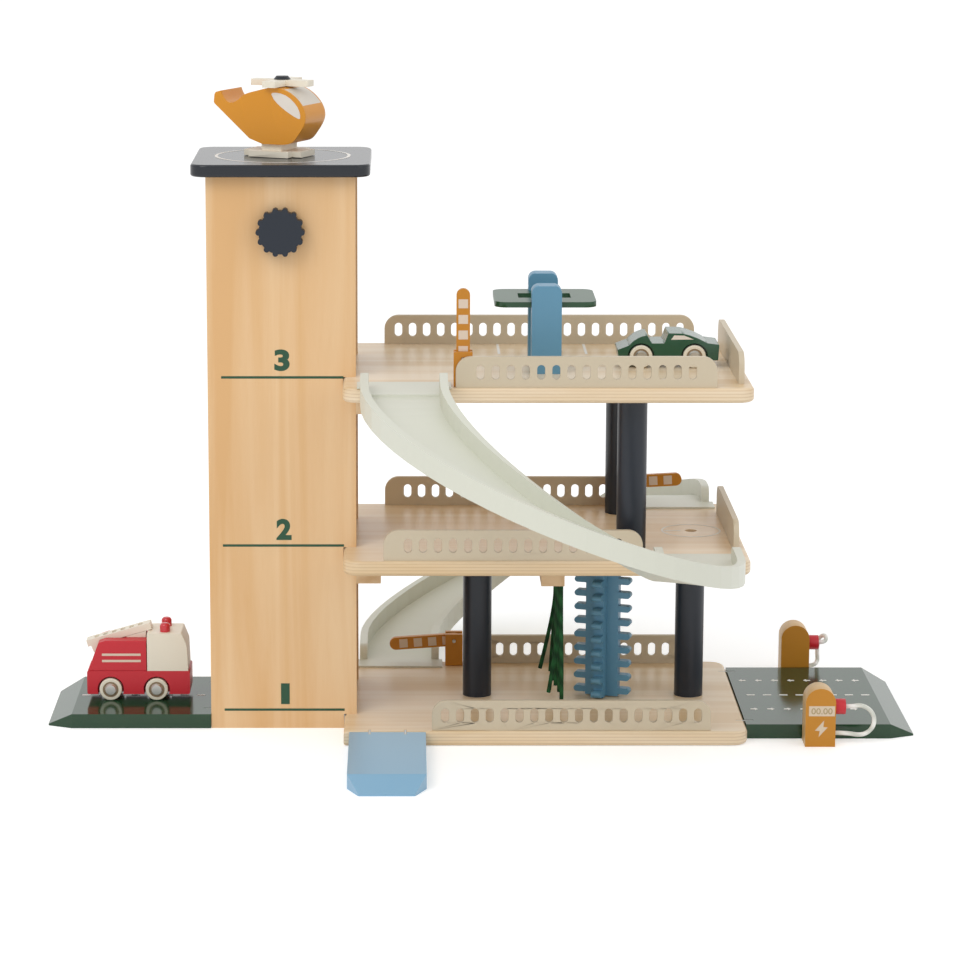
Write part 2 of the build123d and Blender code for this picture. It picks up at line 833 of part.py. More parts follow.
def brush_comb(turn, slotted_end):
    """A comb board: a spine with rounded fins on both sides, slotted over half its height."""
    across = Vector(math.cos(math.radians(turn)), math.sin(math.radians(turn)), 0)
    facing = Vector(-math.sin(math.radians(turn)), math.cos(math.radians(turn)), 0)
    middle = base_top + wash_height / 2
    with BuildPart() as comb:
        with BuildSketch(Plane(origin=(brush_x, brush_y, middle), x_dir=across, z_dir=facing)):
            Rectangle(brush_spine, brush_high - brush_low)
            with GridLocations(1, brush_fin_pitch, 1, brush_fins):
                SlotOverall(brush_width, brush_fin_height)
            with Locations((0, slotted_end * (brush_high - brush_low) / 4)):
                Rectangle(
                    brush_board + 2 * joint_gap,
                    (brush_high - brush_low) / 2 + joint_gap,
                    mode=Mode.SUBTRACT,
                )
        extrude(amount=brush_board / 2, both=True)
    return comb


brush_board_a = brush_comb(-brush_turn, 1)
brush_board_a.part.label = "brush_board_a"
export_step(brush_board_a.part, "parts/brush_board_a.step")

brush_board_b = brush_comb(90 - brush_turn, -1)
brush_board_b.part.label = "brush_board_b"
export_step(brush_board_b.part, "parts/brush_board_b.step")

with BuildPart() as brush_pins:
    with BuildSketch(Plane.XY.offset(base_top - brush_pin_length)):
        with Locations((brush_x, brush_y)):
            Circle(brush_pin_radius)
    extrude(amount=brush_pin_length + brush_end_gap)
    with BuildSketch(Plane.XY.offset(brush_high)):
        with Locations((brush_x, brush_y)):
            Circle(brush_pin_radius)
    extrude(amount=brush_pin_length + brush_end_gap)
brush_pins.part.label = "brush_pins"
export_step(brush_pins.part, "parts/brush_pins.step")

wash_bar_under = middle_under - batten_height

# The strands hang from the bar. Each route is hand-chosen: sideways and down from its exit.
strand_routes = [
    [(0, 0, 0), (0, 0, -34), (1.0, 0, -70), (1.0, 0, -102)],
    [(0, 0, 0), (0, 0, -30), (-3.4, 0, -64), (-9.0, 0, -99)],
    [(0, 0, 0), (0, 0, -35), (0.8, 0, -71), (0.6, 0, -103)],
    [(0, 0, 0), (0, 0, -33), (-1.2, 0, -69), (-1.6, 0, -102)],
    [(0, 0, 0), (0, 0, -32), (-1.4, 0, -68), (-3.2, 0, -102)],
    [(0, 0, 0), (0, 0, -28), (-5.2, 0, -61), (-13.5, 0, -96)],
    [(0, 0, 0), (0, 0, -35), (-1.8, 0, -71), (-3.9, 0, -103)],
]


def corner_radii(points):
    """As large an arc at each corner as its two runs allow."""
    radii = []
    for before, here, after in zip(points, points[1:], points[2:]):
        run_in = here - before
        run_out = after - here
        half_turn = math.radians(run_in.get_angle(run_out)) / 2
        radii.append(0.45 * min(run_in.length, run_out.length) / math.tan(half_turn))
    return radii


def cord_tube(name, points, radius):
    """A round tube along straight runs joined by tangent arcs."""
    radii = corner_radii(points)
    with BuildPart() as tube:
        with BuildLine() as route:
            FilletPolyline(*points, radius=radii)
        start = route.wires()[0]
        with BuildSketch(Plane(origin=start @ 0, z_dir=start % 0)):
            Circle(radius)
        sweep(path=route.wires()[0])
    expected = math.pi * radius**2 * start.length
    print(name, "radii", [round(r, 1) for r in radii], "length", round(start.length, 1))
    print(name, "volume / expected", round(tube.part.volume / expected, 4))
    return tube


with BuildPart() as wash_strands:
    for number, route in enumerate(strand_routes):
        strand_y = (number - (strand_count - 1) / 2) * strand_pitch
        exit_point = Vector(wash_bar_x + strand_exit, strand_y, wash_bar_under)
        strand_points = [exit_point + Vector(*step) for step in route]
        add(cord_tube("strand", strand_points, strand_radius).part)
wash_strands.part.label = "wash_strands"
export_step(wash_strands.part, "parts/wash_strands.step")


# ---------------------------------------------------------------- road boards and ramp
def road_board(length, width):
    """A board along +X from the origin, with a bevelled, corner-cut far end."""
    tip = length + bevel_length
    with BuildPart() as board:
        with BuildSketch(Plane.XY):
            with BuildLine():
                Polyline(
                    (0, -width / 2),
                    (length, -width / 2),
                    (tip, bevel_corner - width / 2),
                    (tip, width / 2 - bevel_corner),
                    (length, width / 2),
                    (0, width / 2),
                    close=True,
                )
            make_face()
        extrude(amount=road_thickness)
        with BuildSketch(Plane.XZ):
            with BuildLine():
                Polyline(
                    (length, road_thickness),
                    (tip, bevel_edge),
                    (tip + 1, bevel_edge),
                    (tip + 1, road_thickness + 1),
                    (length, road_thickness + 1),
                    close=True,
                )
            make_face()
        extrude(amount=width, both=True, mode=Mode.SUBTRACT)
    return board.part


def placed_road(length, width, place):
    """A road board at its place, with kerfs right through it, so that it lifts off its plates."""
    with BuildPart() as board:
        add(road_board(length, width).moved(place))
    return cut_kerfs(board, road_thickness, road_thickness)


right_road = placed_road(
    right_road_length, right_road_width, Location((deck_right + board_gap, 0, 0))
)
right_road.part.label = "right_road"
export_step(right_road.part, "parts/right_road.step")

left_road = placed_road(
    left_road_length, left_road_width, Location((tower_left - board_gap, 0, 0), (0, 0, 180))
)
left_road.part.label = "left_road"
export_step(left_road.part, "parts/left_road.step")

entry_ramp = placed_road(
    ramp_length, ramp_width, Location((ramp_x, deck_front - board_gap, 0), (0, 0, -90))
)
entry_ramp.part.label = "entry_ramp"
export_step(entry_ramp.part, "parts/entry_ramp.step")

with BuildPart() as link_plates:
    with BuildSketch(Plane.XY.offset(road_thickness - link_gap)):
        with Locations(right_link_places + left_link_places):
            Rectangle(link_length, link_width)
        with Locations(ramp_link_places):
            Rectangle(link_width, link_length)
    extrude(amount=-(link_depth - link_gap))
link_plates.part.label = "link_plates"
export_step(link_plates.part, "parts/link_plates.step")

# ---------------------------------------------------------------- chargers
# name, x, side of the road: -1 front, 1 back
charger_places = [("front", front_charger_x, -1), ("back", back_charger_x, 1)]
charger_y = right_road_width / 2 + charger_road_gap + charger_depth / 2
plug_start = charger_width / 2

# Each route runs from the plug's end down to the block's side, in the block's own place.
# Its ends follow the plug and the block.
charger_routes = {
    "front": [
        (26.5, 0, 31.0),
        (33.3, -0.8, 32.5),
        (40.3, -1.8, 29.6),
        (44.5, -2.2, 23.4),
        (44.5, -2.2, 15.9),
        (40.3, -1.4, 9.7),
        (33.3, -0.6, 6.9),
        (22.8, 0, 8.8),
    ],
    "back": [
        (26.5, 0, 31.0),
        (29.0, 4.5, 34.0),
        (27.0, 9.5, 35.5),
        (23.0, 13.0, 31.5),
        (22.0, 14.0, 24.5),
        (22.2, 13.5, 17.0),
        (22.4, 11.5, 11.5),
        (18.5, 5.0, 8.8),
    ],
}
charger_cord_ends = {"front": 0.0, "back": 5.0}   # how far behind the block's middle

for name, x, side in charger_places:
    y = side * charger_y
    with BuildPart() as charger_block:
        with BuildSketch(Plane.XZ.offset(-y)):
            with Locations((x, (charger_height - charger_width / 2) / 2)):
                Rectangle(charger_width, charger_height - charger_width / 2)
            with Locations((x, charger_height - charger_width / 2)):
                Circle(charger_width / 2)
        extrude(amount=charger_depth / 2, both=True)
        with BuildSketch(Plane.YZ.offset(x + plug_start)):
            with Locations((y, charger_plug_height)):
                Circle(charger_peg_radius + 2 * joint_gap)
        extrude(amount=-(charger_peg_length + 2 * joint_gap), mode=Mode.SUBTRACT)
    charger_block.part.label = name + "_charger"
    export_step(charger_block.part, "parts/" + name + "_charger.step")

    with BuildPart() as charger_plug:
        with BuildSketch(Plane.YZ.offset(x + plug_start + running_gap)):
            with Locations((y, charger_plug_height)):
                Circle(charger_plug_radius)
        extrude(amount=charger_plug_length)
        with BuildSketch(Plane.YZ.offset(x + plug_start + running_gap)):
            with Locations((y, charger_plug_height)):
                Circle(charger_peg_radius)
        extrude(amount=-charger_peg_length)
    charger_plug.part.label = name + "_charger_plug"
    export_step(charger_plug.part, "parts/" + name + "_charger_plug.step")

    plug_end = x + plug_start + running_gap + charger_plug_length
    cord_points = [Vector(plug_end, y, charger_plug_height)]
    cord_points += [Vector(x, y, 0) + Vector(*step) for step in charger_routes[name]]
    cord_points += [Vector(x + plug_start, y + charger_cord_ends[name], charger_cord_height)]
    charger_cord = cord_tube(name + " charger cord", cord_points, charger_cord_radius)
    charger_cord.part.label = name + "_charger_cord"
    export_step(charger_cord.part, "parts/" + name + "_charger_cord.step")


# ---------------------------------------------------------------- wheels
def wheel_pair(x, ground, track):
    """Two wooden wheels, bored for their axle."""
    with BuildPart() as wheels:
        for side in (-1, 1):
            outer = side * track / 2
            with BuildSketch(Plane.XZ.offset(-outer)):
                with Locations((x, ground + wheel_radius)):
                    Circle(wheel_radius)
                    Circle(wheel_axle_radius + pin_clearance, mode=Mode.SUBTRACT)
            extrude(amount=side * wheel_width)
        rims = wheels.edges().filter_by(GeomType.CIRCLE)
        fillet([e for e in rims if e.radius > wheel_radius - 1], radius=1.0)
    return wheels


def wheel_axle(x, ground, track):
    """A steel axle with a domed hub cap at each end."""
    with BuildPart() as axle:
        with BuildSketch(Plane.XZ.offset(track / 2)):
            with Locations((x, ground + wheel_radius)):
                Circle(wheel_axle_radius)
        extrude(amount=-track)
        for side in (-1, 1):
            hub_plane = Plane(
                origin=(x, side * track / 2, ground + wheel_radius),
                x_dir=(1, 0, 0),
                z_dir=(0, side, 0),
            )
            with BuildSketch(hub_plane.offset(joint_gap)):
                Circle(hub_radius)
            extrude(amount=hub_crown, taper=35)
            with BuildSketch(hub_plane.offset(-1)):
                Circle(wheel_axle_radius)
            extrude(amount=1 + 2 * joint_gap)
    return axle


# ---------------------------------------------------------------- sports car
car_ground = top_top + running_gap
car_left = car_x - car_length / 2
car_right = car_x + car_length / 2
car_low = car_ground + car_clearance
car_track = car_width + 1.0
well_radius = wheel_radius + wheel_well_gap
well_depth = wheel_width + 1.0

with BuildPart() as sports_car_body:
    with BuildSketch(Plane.XZ) as car_outline:
        with BuildLine():
            nose = (car_left, car_low + 8.7)
            brow = (car_left + 9.5, car_low + 12.3)
            screen_foot = (car_left + 24.5, car_low + 20.7)
            cockpit_low = (car_left + 28.0, car_low + 14.1)
            cockpit_end = (car_left + 38.5, car_low + 14.1)
            roof_start = (car_left + 41.7, car_low + 22.5)
            roof_end = (car_left + 53.0, car_low + 22.3)
            tail_foot = (car_left + 73.5, car_low + 14.3)
            tail = (car_right, car_low + 13.0)
            Polyline((car_left + 1.5, car_low), nose, brow)
            Spline(brow, (car_left + 15.5, car_low + 17.5), screen_foot)
            Polyline(screen_foot, cockpit_low, cockpit_end, roof_start, roof_end)
            Spline(roof_end, (car_left + 64.5, car_low + 18.7), tail_foot)
            Polyline(tail_foot, tail, (car_right - 0.8, car_low), (car_left + 1.5, car_low))
        make_face()
        fillet(car_outline.vertices(), radius=0.8)
    extrude(amount=car_width / 2, both=True)
    for offset in (car_front_axle, car_rear_axle):
        axle_x = car_x + offset
        for side in (-1, 1):
            with BuildSketch(Plane.XZ.offset(-side * (car_width / 2 + 1))):
                with Locations((axle_x, car_ground + wheel_radius)):
                    Circle(well_radius)
            extrude(amount=side * (well_depth + 1), mode=Mode.SUBTRACT)
        with BuildSketch(Plane.XZ):
            with Locations((axle_x, car_ground + wheel_radius)):
                Circle(wheel_axle_radius + axle_gap)
        extrude(amount=car_width / 2, both=True, mode=Mode.SUBTRACT)
sports_car_body.part.label = "sports_car_body"
export_step(sports_car_body.part, "parts/sports_car_body.step")

for name, offset in (("front", car_front_axle), ("rear", car_rear_axle)):
    car_wheels = wheel_pair(car_x + offset, car_ground, car_track)
    car_wheels.part.label = "sports_car_" + name + "_wheels"
    export_step(car_wheels.part, "parts/sports_car_" + name + "_wheels.step")
    car_axle = wheel_axle(car_x + offset, car_ground, car_track)
    car_axle.part.label = "sports_car_" + name + "_axle"
    export_step(car_axle.part, "parts/sports_car_" + name + "_axle.step")

# ---------------------------------------------------------------- fire truck
truck_road = road_thickness + running_gap
truck_left = truck_x - truck_length / 2
truck_right = truck_x + truck_length / 2
chassis_low = truck_road + truck_clearance
chassis_top = chassis_low + truck_chassis_height
truck_track = truck_width + 1.0
tank_top = chassis_top + tank_height
cab_left = truck_left + cab_place
cab_top = chassis_top + cab_height

with BuildPart() as fire_truck_chassis:
    with BuildSketch(Plane.XZ) as chassis_outline:
        with Locations((truck_x, (chassis_low + chassis_top) / 2)):
            Rectangle(truck_length, truck_chassis_height)
        fillet(chassis_outline.vertices(), radius=1.5)
    extrude(amount=truck_width / 2, both=True)
    for offset in (truck_rear_axle, truck_front_axle):
        axle_x = truck_x + offset
        for side in (-1, 1):
            with BuildSketch(Plane.XZ.offset(-side * (truck_width / 2 + 1))):
                with Locations((axle_x, truck_road + wheel_radius)):
                    Circle(well_radius)
            extrude(amount=side * (well_depth + 1), mode=Mode.SUBTRACT)
        with BuildSketch(Plane.XZ):
            with Locations((axle_x, truck_road + wheel_radius)):
                Circle(wheel_axle_radius + axle_gap)
        extrude(amount=truck_width / 2, both=True, mode=Mode.SUBTRACT)
fire_truck_chassis.part.label = "fire_truck_chassis"
export_step(fire_truck_chassis.part, "parts/fire_truck_chassis.step")

# The ladder lies in a groove in the tank's top and pivots on a pin across a deeper slot.
ladder_pivot = (truck_left + ladder_pin_place, tank_top - ladder_pin_depth)
slot_width = ladder_width + 2 * running_gap
tilt = math.radians(ladder_tilt)


def ladder_under(x):
    """Height of the ladder's underside above a place along the truck."""
    foot_x = ladder_pivot[0] - ladder_lift * math.sin(tilt)
    foot_z = ladder_pivot[1] + ladder_lift * math.cos(tilt)
    return foot_z + (x - foot_x) * math.tan(tilt)


groove_left = truck_left - 1
groove_end = ladder_under(cab_left) - groove_gap
slot_right = ladder_pivot[0] + lug_radius + 2 * running_gap

with BuildPart() as fire_truck_tank:
    with BuildSketch(Plane.XZ) as tank_outline:
        with BuildLine():
            Polyline(
                (truck_left + 1, chassis_top),
                (cab_left - 0.5, chassis_top),
                (cab_left - 0.5, tank_top),
                (truck_left + 15.5, tank_top),
                (truck_left + 9.8, tank_top - 1.9),
                close=True,
            )
        make_face()
    extrude(amount=truck_width / 2, both=True)
    with BuildSketch(Plane.XZ):
        with BuildLine():
            Polyline(
                (groove_left, ladder_under(groove_left) - groove_gap),
                (cab_left, groove_end),
                (cab_left, groove_end + 1),
                (groove_left, groove_end + 1),
                close=True,
            )
        make_face()
        with Locations((groove_left, ladder_pivot[1] - lug_sweep)):
            Rectangle(
                slot_right - groove_left,
                ladder_pin_depth + lug_sweep + 1,
                align=(Align.MIN, Align.MIN),
            )
    extrude(amount=slot_width / 2, both=True, mode=Mode.SUBTRACT)
    with BuildSketch(Plane.XZ):
        with Locations(ladder_pivot):
            Circle(ladder_pin_radius)
    extrude(amount=truck_width / 4, both=True)
fire_truck_tank.part.label = "fire_truck_tank"
export_step(fire_truck_tank.part, "parts/fire_truck_tank.step")

with BuildPart() as fire_truck_cab:
    with BuildSketch(Plane.XZ) as cab_outline:
        with BuildLine():
            Polyline(
                (cab_left, chassis_top),
                (truck_right - 1.5, chassis_top),
                (truck_right - 2.3, cab_top - 11.2),
                (truck_right - 6.7, cab_top),
                (cab_left, cab_top),
                close=True,
            )
        make_face()
        fillet(cab_outline.vertices().group_by(Axis.Y)[-1], radius=1.5)
    extrude(amount=truck_width / 2, both=True)
fire_truck_cab.part.label = "fire_truck_cab"
export_step(fire_truck_cab.part, "parts/fire_truck_cab.step")

beacon_x = cab_left + 14.8
with BuildPart() as fire_truck_beacons:
    with BuildSketch(Plane.XY.offset(cab_top)):
        with Locations((beacon_x, -beacon_spread / 2), (beacon_x, beacon_spread / 2)):
            Circle(beacon_radius)
    extrude(amount=beacon_height)
    beacon_rims = fire_truck_beacons.edges().group_by(Axis.Z)[-1]
    fillet(beacon_rims, radius=beacon_radius * 0.7)
fire_truck_beacons.part.label = "fire_truck_beacons"
export_step(fire_truck_beacons.part, "parts/fire_truck_beacons.step")

ladder_plane = Plane(
    origin=(ladder_pivot[0], 0, ladder_pivot[1]),
    x_dir=(math.cos(tilt), 0, math.sin(tilt)),
    z_dir=(0, -1, 0),
)
rung_plane = Plane(
    origin=(ladder_pivot[0], 0, ladder_pivot[1]),
    x_dir=(math.cos(tilt), 0, math.sin(tilt)),
    z_dir=(-math.sin(tilt), 0, math.cos(tilt)),
)

with BuildPart() as fire_truck_ladder:
    with BuildSketch(ladder_plane):
        with Locations((-ladder_overhang, ladder_lift)):
            Rectangle(ladder_length, ladder_thickness, align=(Align.MIN, Align.MIN))
        with BuildLine():
            Polyline(
                (-ladder_overhang + 2.5, ladder_lift + 1),
                (-7.1, 2.4),
                (-3.0, -2.9),
                (lug_radius, 0),
                (lug_radius, ladder_lift + 1),
                close=True,
            )
        make_face()
        Circle(lug_radius)
        Circle(ladder_pin_radius + pin_clearance, mode=Mode.SUBTRACT)
    extrude(amount=ladder_width / 2, both=True)
    with BuildSketch(rung_plane.offset(ladder_lift)):
        with Locations((ladder_length / 2 - ladder_overhang, 0)):
            with GridLocations(7.6, 1, 6, 1):
                SlotOverall(ladder_width * 0.62, 4.0, rotation=90)
    extrude(amount=ladder_thickness, mode=Mode.SUBTRACT)
fire_truck_ladder.part.label = "fire_truck_ladder"
export_step(fire_truck_ladder.part, "parts/fire_truck_ladder.step")

rest_left = cab_left - 18.0
rest_right = cab_left - 1.5

with BuildPart() as fire_truck_ladder_rest:
    with BuildSketch(Plane.XZ):
        with BuildLine():
            Polyline(
                (rest_left, tank_top),
                (rest_right, tank_top),
                (rest_right, ladder_under(rest_right) - running_gap),
                (rest_left, ladder_under(rest_left) - running_gap),
                close=True,
            )
        make_face()
    extrude(amount=ladder_width / 2, both=True)
fire_truck_ladder_rest.part.label = "fire_truck_ladder_rest"
export_step(fire_truck_ladder_rest.part, "parts/fire_truck_ladder_rest.step")

for name, offset in (("rear", truck_rear_axle), ("front", truck_front_axle)):
    truck_wheels = wheel_pair(truck_x + offset, truck_road, truck_track)
    truck_wheels.part.label = "fire_truck_" + name + "_wheels"
    export_step(truck_wheels.part, "parts/fire_truck_" + name + "_wheels.step")
    truck_axle = wheel_axle(truck_x + offset, truck_road, truck_track)
    truck_axle.part.label = "fire_truck_" + name + "_axle"
    export_step(truck_axle.part, "parts/fire_truck_" + name + "_axle.step")

# ---------------------------------------------------------------- helicopter
heli_ground = roof_top + running_gap
heli_low = heli_ground + heli_skid_thickness + heli_neck_height
heli_place = Location((tower_x, 0, 0), (0, 0, heli_turn))
rotor_under = heli_low + heli_height + rotor_gap

with BuildPart() as heli_body_straight:
    with BuildSketch(Plane.XZ) as heli_outline:
        with BuildLine():
            belly_back = (-20.8, heli_low + 4.1)
            tail_low = (-53.0, heli_low + 32.0)
            tail_high = (-52.0, heli_low + 40.5)
            tail_tip = (-46.5, heli_low + 42.0)
            neck = (-28.0, heli_low + 37.5)
            crown = (0.0, heli_low + heli_height)
            nose_point = (29.6, heli_low + 21.0)
            belly_front = (6.0, heli_low)
            belly_middle = (-9.0, heli_low)
            Line(belly_back, tail_low)
            Line(tail_low, tail_high)
            Line(tail_high, tail_tip)
            Spline(tail_tip, (-37.0, heli_low + 32.4), neck, tangents=[(0.3, -1), (1, 0.9)])
            Spline(
                neck,
                (-14.0, heli_low + 43.0),
                crown,
                (18.5, heli_low + 40.2),
                nose_point,
                (22.0, heli_low + 7.0),
                belly_front,
                tangents=[(1, 0.9), (-1, 0)],
            )
            Line(belly_front, belly_middle)
            Line(belly_middle, belly_back)
        make_face()
        fillet(heli_outline.vertices().sort_by(Axis.X)[:2], radius=3)
    extrude(amount=heli_thickness / 2, both=True)
    with Locations((0, 0, heli_low + heli_height - 10)):
        Cylinder(rotor_pin_radius + joint_gap, 40, mode=Mode.SUBTRACT)

with BuildPart() as helicopter_body:
    with Locations(heli_place):
        add(heli_body_straight.part)
helicopter_body.part.label = "helicopter_body"
export_step(helicopter_body.part, "parts/helicopter_body.step")

with BuildPart() as helicopter_skid:
    with Locations(heli_place):
        with Locations((heli_skid_shift, 0, heli_ground)):
            Box(
                heli_skid_bar,
                26,
                heli_skid_thickness,
                align=(Align.CENTER, Align.CENTER, Align.MIN),
            )
            Box(36, 42, heli_skid_thickness, align=(Align.CENTER, Align.CENTER, Align.MIN))
        with Locations((heli_skid_shift, 0, heli_ground + heli_skid_thickness)):
            Box(18, 30, heli_neck_height, align=(Align.CENTER, Align.CENTER, Align.MIN))
helicopter_skid.part.label = "helicopter_skid"
export_step(helicopter_skid.part, "parts/helicopter_skid.step")

with BuildPart() as helicopter_rotor:
    with Locations(heli_place):
        with Locations((0, 0, rotor_under)):
            with Locations((0, 0, 0), Location((0, 0, 0), (0, 0, 90))):
                Box(
                    rotor_span,
                    rotor_blade,
                    rotor_thickness,
                    align=(Align.CENTER, Align.CENTER, Align.MIN),
                )
    blade_corners = helicopter_rotor.edges().filter_by(Axis.Z)
    fillet(blade_corners.sort_by_distance((tower_x, 0, rotor_under))[4:], radius=1.5)
    with Locations((tower_x, 0, rotor_under)):
        Cylinder(rotor_pin_radius + pin_clearance, 40, mode=Mode.SUBTRACT)
helicopter_rotor.part.label = "helicopter_rotor"
export_step(helicopter_rotor.part, "parts/helicopter_rotor.step")

with BuildPart() as helicopter_rotor_pin:
    with BuildSketch(Plane.XY.offset(rotor_under - 12)):
        with Locations((tower_x, 0)):
            Circle(rotor_pin_radius)
    extrude(amount=12 + rotor_thickness + running_gap)
    with BuildSketch(Plane.XY.offset(rotor_under + rotor_thickness + running_gap)):
        with Locations((tower_x, 0)):
            Circle(7)
    extrude(amount=2.6, taper=40)
helicopter_rotor_pin.part.label = "helicopter_rotor_pin"
export_step(helicopter_rotor_pin.part, "parts/helicopter_rotor_pin.step")
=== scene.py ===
import bpy
import bmesh
import math
from mathutils import Matrix, Vector


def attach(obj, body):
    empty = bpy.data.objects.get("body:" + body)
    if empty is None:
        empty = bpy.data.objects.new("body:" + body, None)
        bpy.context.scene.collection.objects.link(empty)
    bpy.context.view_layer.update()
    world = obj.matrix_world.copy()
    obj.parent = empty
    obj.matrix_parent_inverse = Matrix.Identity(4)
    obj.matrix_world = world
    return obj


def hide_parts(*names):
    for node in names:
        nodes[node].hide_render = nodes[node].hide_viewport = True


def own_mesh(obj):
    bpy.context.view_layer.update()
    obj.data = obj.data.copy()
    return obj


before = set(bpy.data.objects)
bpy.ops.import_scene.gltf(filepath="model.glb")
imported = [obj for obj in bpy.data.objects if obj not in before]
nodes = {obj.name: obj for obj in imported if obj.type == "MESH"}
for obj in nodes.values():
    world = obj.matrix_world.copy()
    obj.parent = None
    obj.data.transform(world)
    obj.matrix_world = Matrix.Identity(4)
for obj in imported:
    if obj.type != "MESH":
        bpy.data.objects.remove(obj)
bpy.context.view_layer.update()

# Toy parking garage with lift. Metres, +Z up, front towards -Y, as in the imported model.

# ---------------------------------------------------------------- camera
# The photograph's own viewing place, fitted to the decks, the tower and the road boards.
# It stands in front, higher than the roof, and looks down by 11.5 degrees.
camera_tilt_degrees = 11.474
camera_data = bpy.data.cameras.new("camera")
camera_data.lens = 128.42
camera_data.sensor_width = 36.0
camera_data.shift_x = 0.0804
camera_data.clip_end = 60.0
camera = bpy.data.objects.new("camera", camera_data)
camera.location = (-0.116, -2.79152, 0.76344)
camera.rotation_euler = (math.radians(90 - camera_tilt_degrees), 0.0, 0.0)
bpy.context.scene.collection.objects.link(camera)
bpy.context.scene.camera = camera
bpy.context.scene.view_settings.view_transform = "Standard"


# ---------------------------------------------------------------- studio light and floor
# A white paper sweep under two wide soft lamps, the stronger one at the upper left.
# Rays that see the world or the floor directly find white; the floor keeps the shadows.
def from_hex(text):
    """An sRGB hex colour as linear RGBA."""
    values = [int(text[i:i + 2], 16) / 255 for i in (1, 3, 5)]
    linear = [v / 12.92 if v <= 0.04045 else ((v + 0.055) / 1.055) ** 2.4 for v in values]
    return (*linear, 1.0)


def add_node(tree, kind, inputs=None, **settings):
    """A node with its settings, each input given as a value or as the socket it is linked to."""
    node = tree.nodes.new(kind)
    for key, value in settings.items():
        setattr(node, key, value)
    for key, value in (inputs or {}).items():
        if isinstance(value, bpy.types.NodeSocket):
            tree.links.new(value, node.inputs[key])
        else:
            node.inputs[key].default_value = value
    return node


def seen_directly(tree):
    """1 for rays of the camera, of reflections and through glass, otherwise 0."""
    path = add_node(tree, "ShaderNodeLightPath")
    both = add_node(
        tree, "ShaderNodeMath",
        {0: path.outputs["Is Camera Ray"], 1: path.outputs["Is Glossy Ray"]},
        operation="MAXIMUM",
    )
    return add_node(
        tree, "ShaderNodeMath", {0: both.outputs[0], 1: path.outputs["Is Transmission Ray"]},
        operation="MAXIMUM",
    ).outputs[0]


room_light = 0.78
world = bpy.data.worlds.new("studio")
world.use_nodes = True
world.node_tree.nodes.clear()
world_strength = add_node(
    world.node_tree, "ShaderNodeMapRange",
    {"Value": seen_directly(world.node_tree), "To Min": room_light},
)
world_light = add_node(
    world.node_tree, "ShaderNodeBackground",
    {"Color": (1.0, 1.0, 1.0, 1.0), "Strength": world_strength.outputs[0]},
)
add_node(world.node_tree, "ShaderNodeOutputWorld", {"Surface": world_light.outputs[0]})
bpy.context.scene.world = world

lamp_aim = Vector((0, 0, 0.15))
for lamp_name, place, energy, lamp_size in (
    ("key_lamp", (-1.6, -2.2, 2.6), 30.0, 1.8),
    ("fill_lamp", (2.2, -2.0, 1.6), 8.0, 2.0),
):
    lamp_data = bpy.data.lights.new(lamp_name, "AREA")
    lamp_data.energy = energy
    lamp_data.size = lamp_size
    lamp = bpy.data.objects.new(lamp_name, lamp_data)
    lamp.location = place
    lamp.rotation_euler = (lamp_aim - Vector(place)).to_track_quat("-Z", "Y").to_euler()
    bpy.context.scene.collection.objects.link(lamp)

# Matt paper: it hardly shines, and its glow lifts the lit sweep to the photograph's white.
paper_glow = 0.34
floor_material = bpy.data.materials.new("white_studio_paper")
floor_material.use_nodes = True
floor_tree = floor_material.node_tree
floor_tree.nodes.clear()
floor_lift = add_node(
    floor_tree, "ShaderNodeMath", {0: seen_directly(floor_tree), 1: paper_glow},
    operation="MULTIPLY",
)
floor_shader = add_node(
    floor_tree, "ShaderNodeBsdfPrincipled",
    {
        "Base Color": (0.92, 0.92, 0.92, 1.0),
        "Roughness": 0.9,
        "Specular IOR Level": 0.1,
        "Emission Color": (1.0, 1.0, 1.0, 1.0),
        "Emission Strength": floor_lift.outputs[0],
    },
)
add_node(floor_tree, "ShaderNodeOutputMaterial", {"Surface": floor_shader.outputs[0]})

sweep = 15
floor_mesh = bpy.data.meshes.new("floor")
floor_mesh.from_pydata(
    [(-sweep, -sweep, 0), (sweep, -sweep, 0), (sweep, sweep, 0), (-sweep, sweep, 0)], [],
    [(0, 1, 2, 3)],
)
floor = bpy.data.objects.new("floor", floor_mesh)
floor.data.materials.append(floor_material)
bpy.context.scene.collection.objects.link(floor)


# ---------------------------------------------------------------- wash strands
# Seven thick braided polyester strands in green, fixed in the bar over the wash.
# They hang limp, a few of them swung to the left, and end bare.
def cord_material(name, dark, light):
    """Matt braided polyester. The braid's own threads, 1.2 mm wide, are too fine to show, so the
    slanting bands are drawn about 15 mm apart: a bump for their relief, and in the colour a painted
    highlight on the ridges and painted shade in the grooves."""
    band_scale = 0.05 / 0.0012
    material = bpy.data.materials.new(name)
    material.use_nodes = True
    tree = material.node_tree
    tree.nodes.clear()
    place = add_node(tree, "ShaderNodeTexCoord").outputs["Object"]
    threads = add_node(
        tree, "ShaderNodeTexWave", {"Vector": place, "Scale": band_scale, "Distortion": 0.6},
        wave_type="BANDS", bands_direction="DIAGONAL",
    )
    # The two colours are the braid's painted light and shade: lighter on the ridges, darker in the
    # grooves.
    colour = add_node(
        tree, "ShaderNodeMix", {0: threads.outputs["Fac"], 6: from_hex(dark), 7: from_hex(light)},
        data_type="RGBA",
    )
    bump = add_node(
        tree, "ShaderNodeBump",
        {"Height": threads.outputs["Fac"], "Strength": 0.4, "Distance": 0.0003},
    )
    shader = add_node(
        tree, "ShaderNodeBsdfPrincipled",
        {
            "Base Color": colour.outputs[2],
            "Roughness": 0.75,
            "Specular IOR Level": 0.3,
            "Normal": bump.outputs[0],
        },
    )
    add_node(tree, "ShaderNodeOutputMaterial", {"Surface": shader.outputs[0]})
    return material


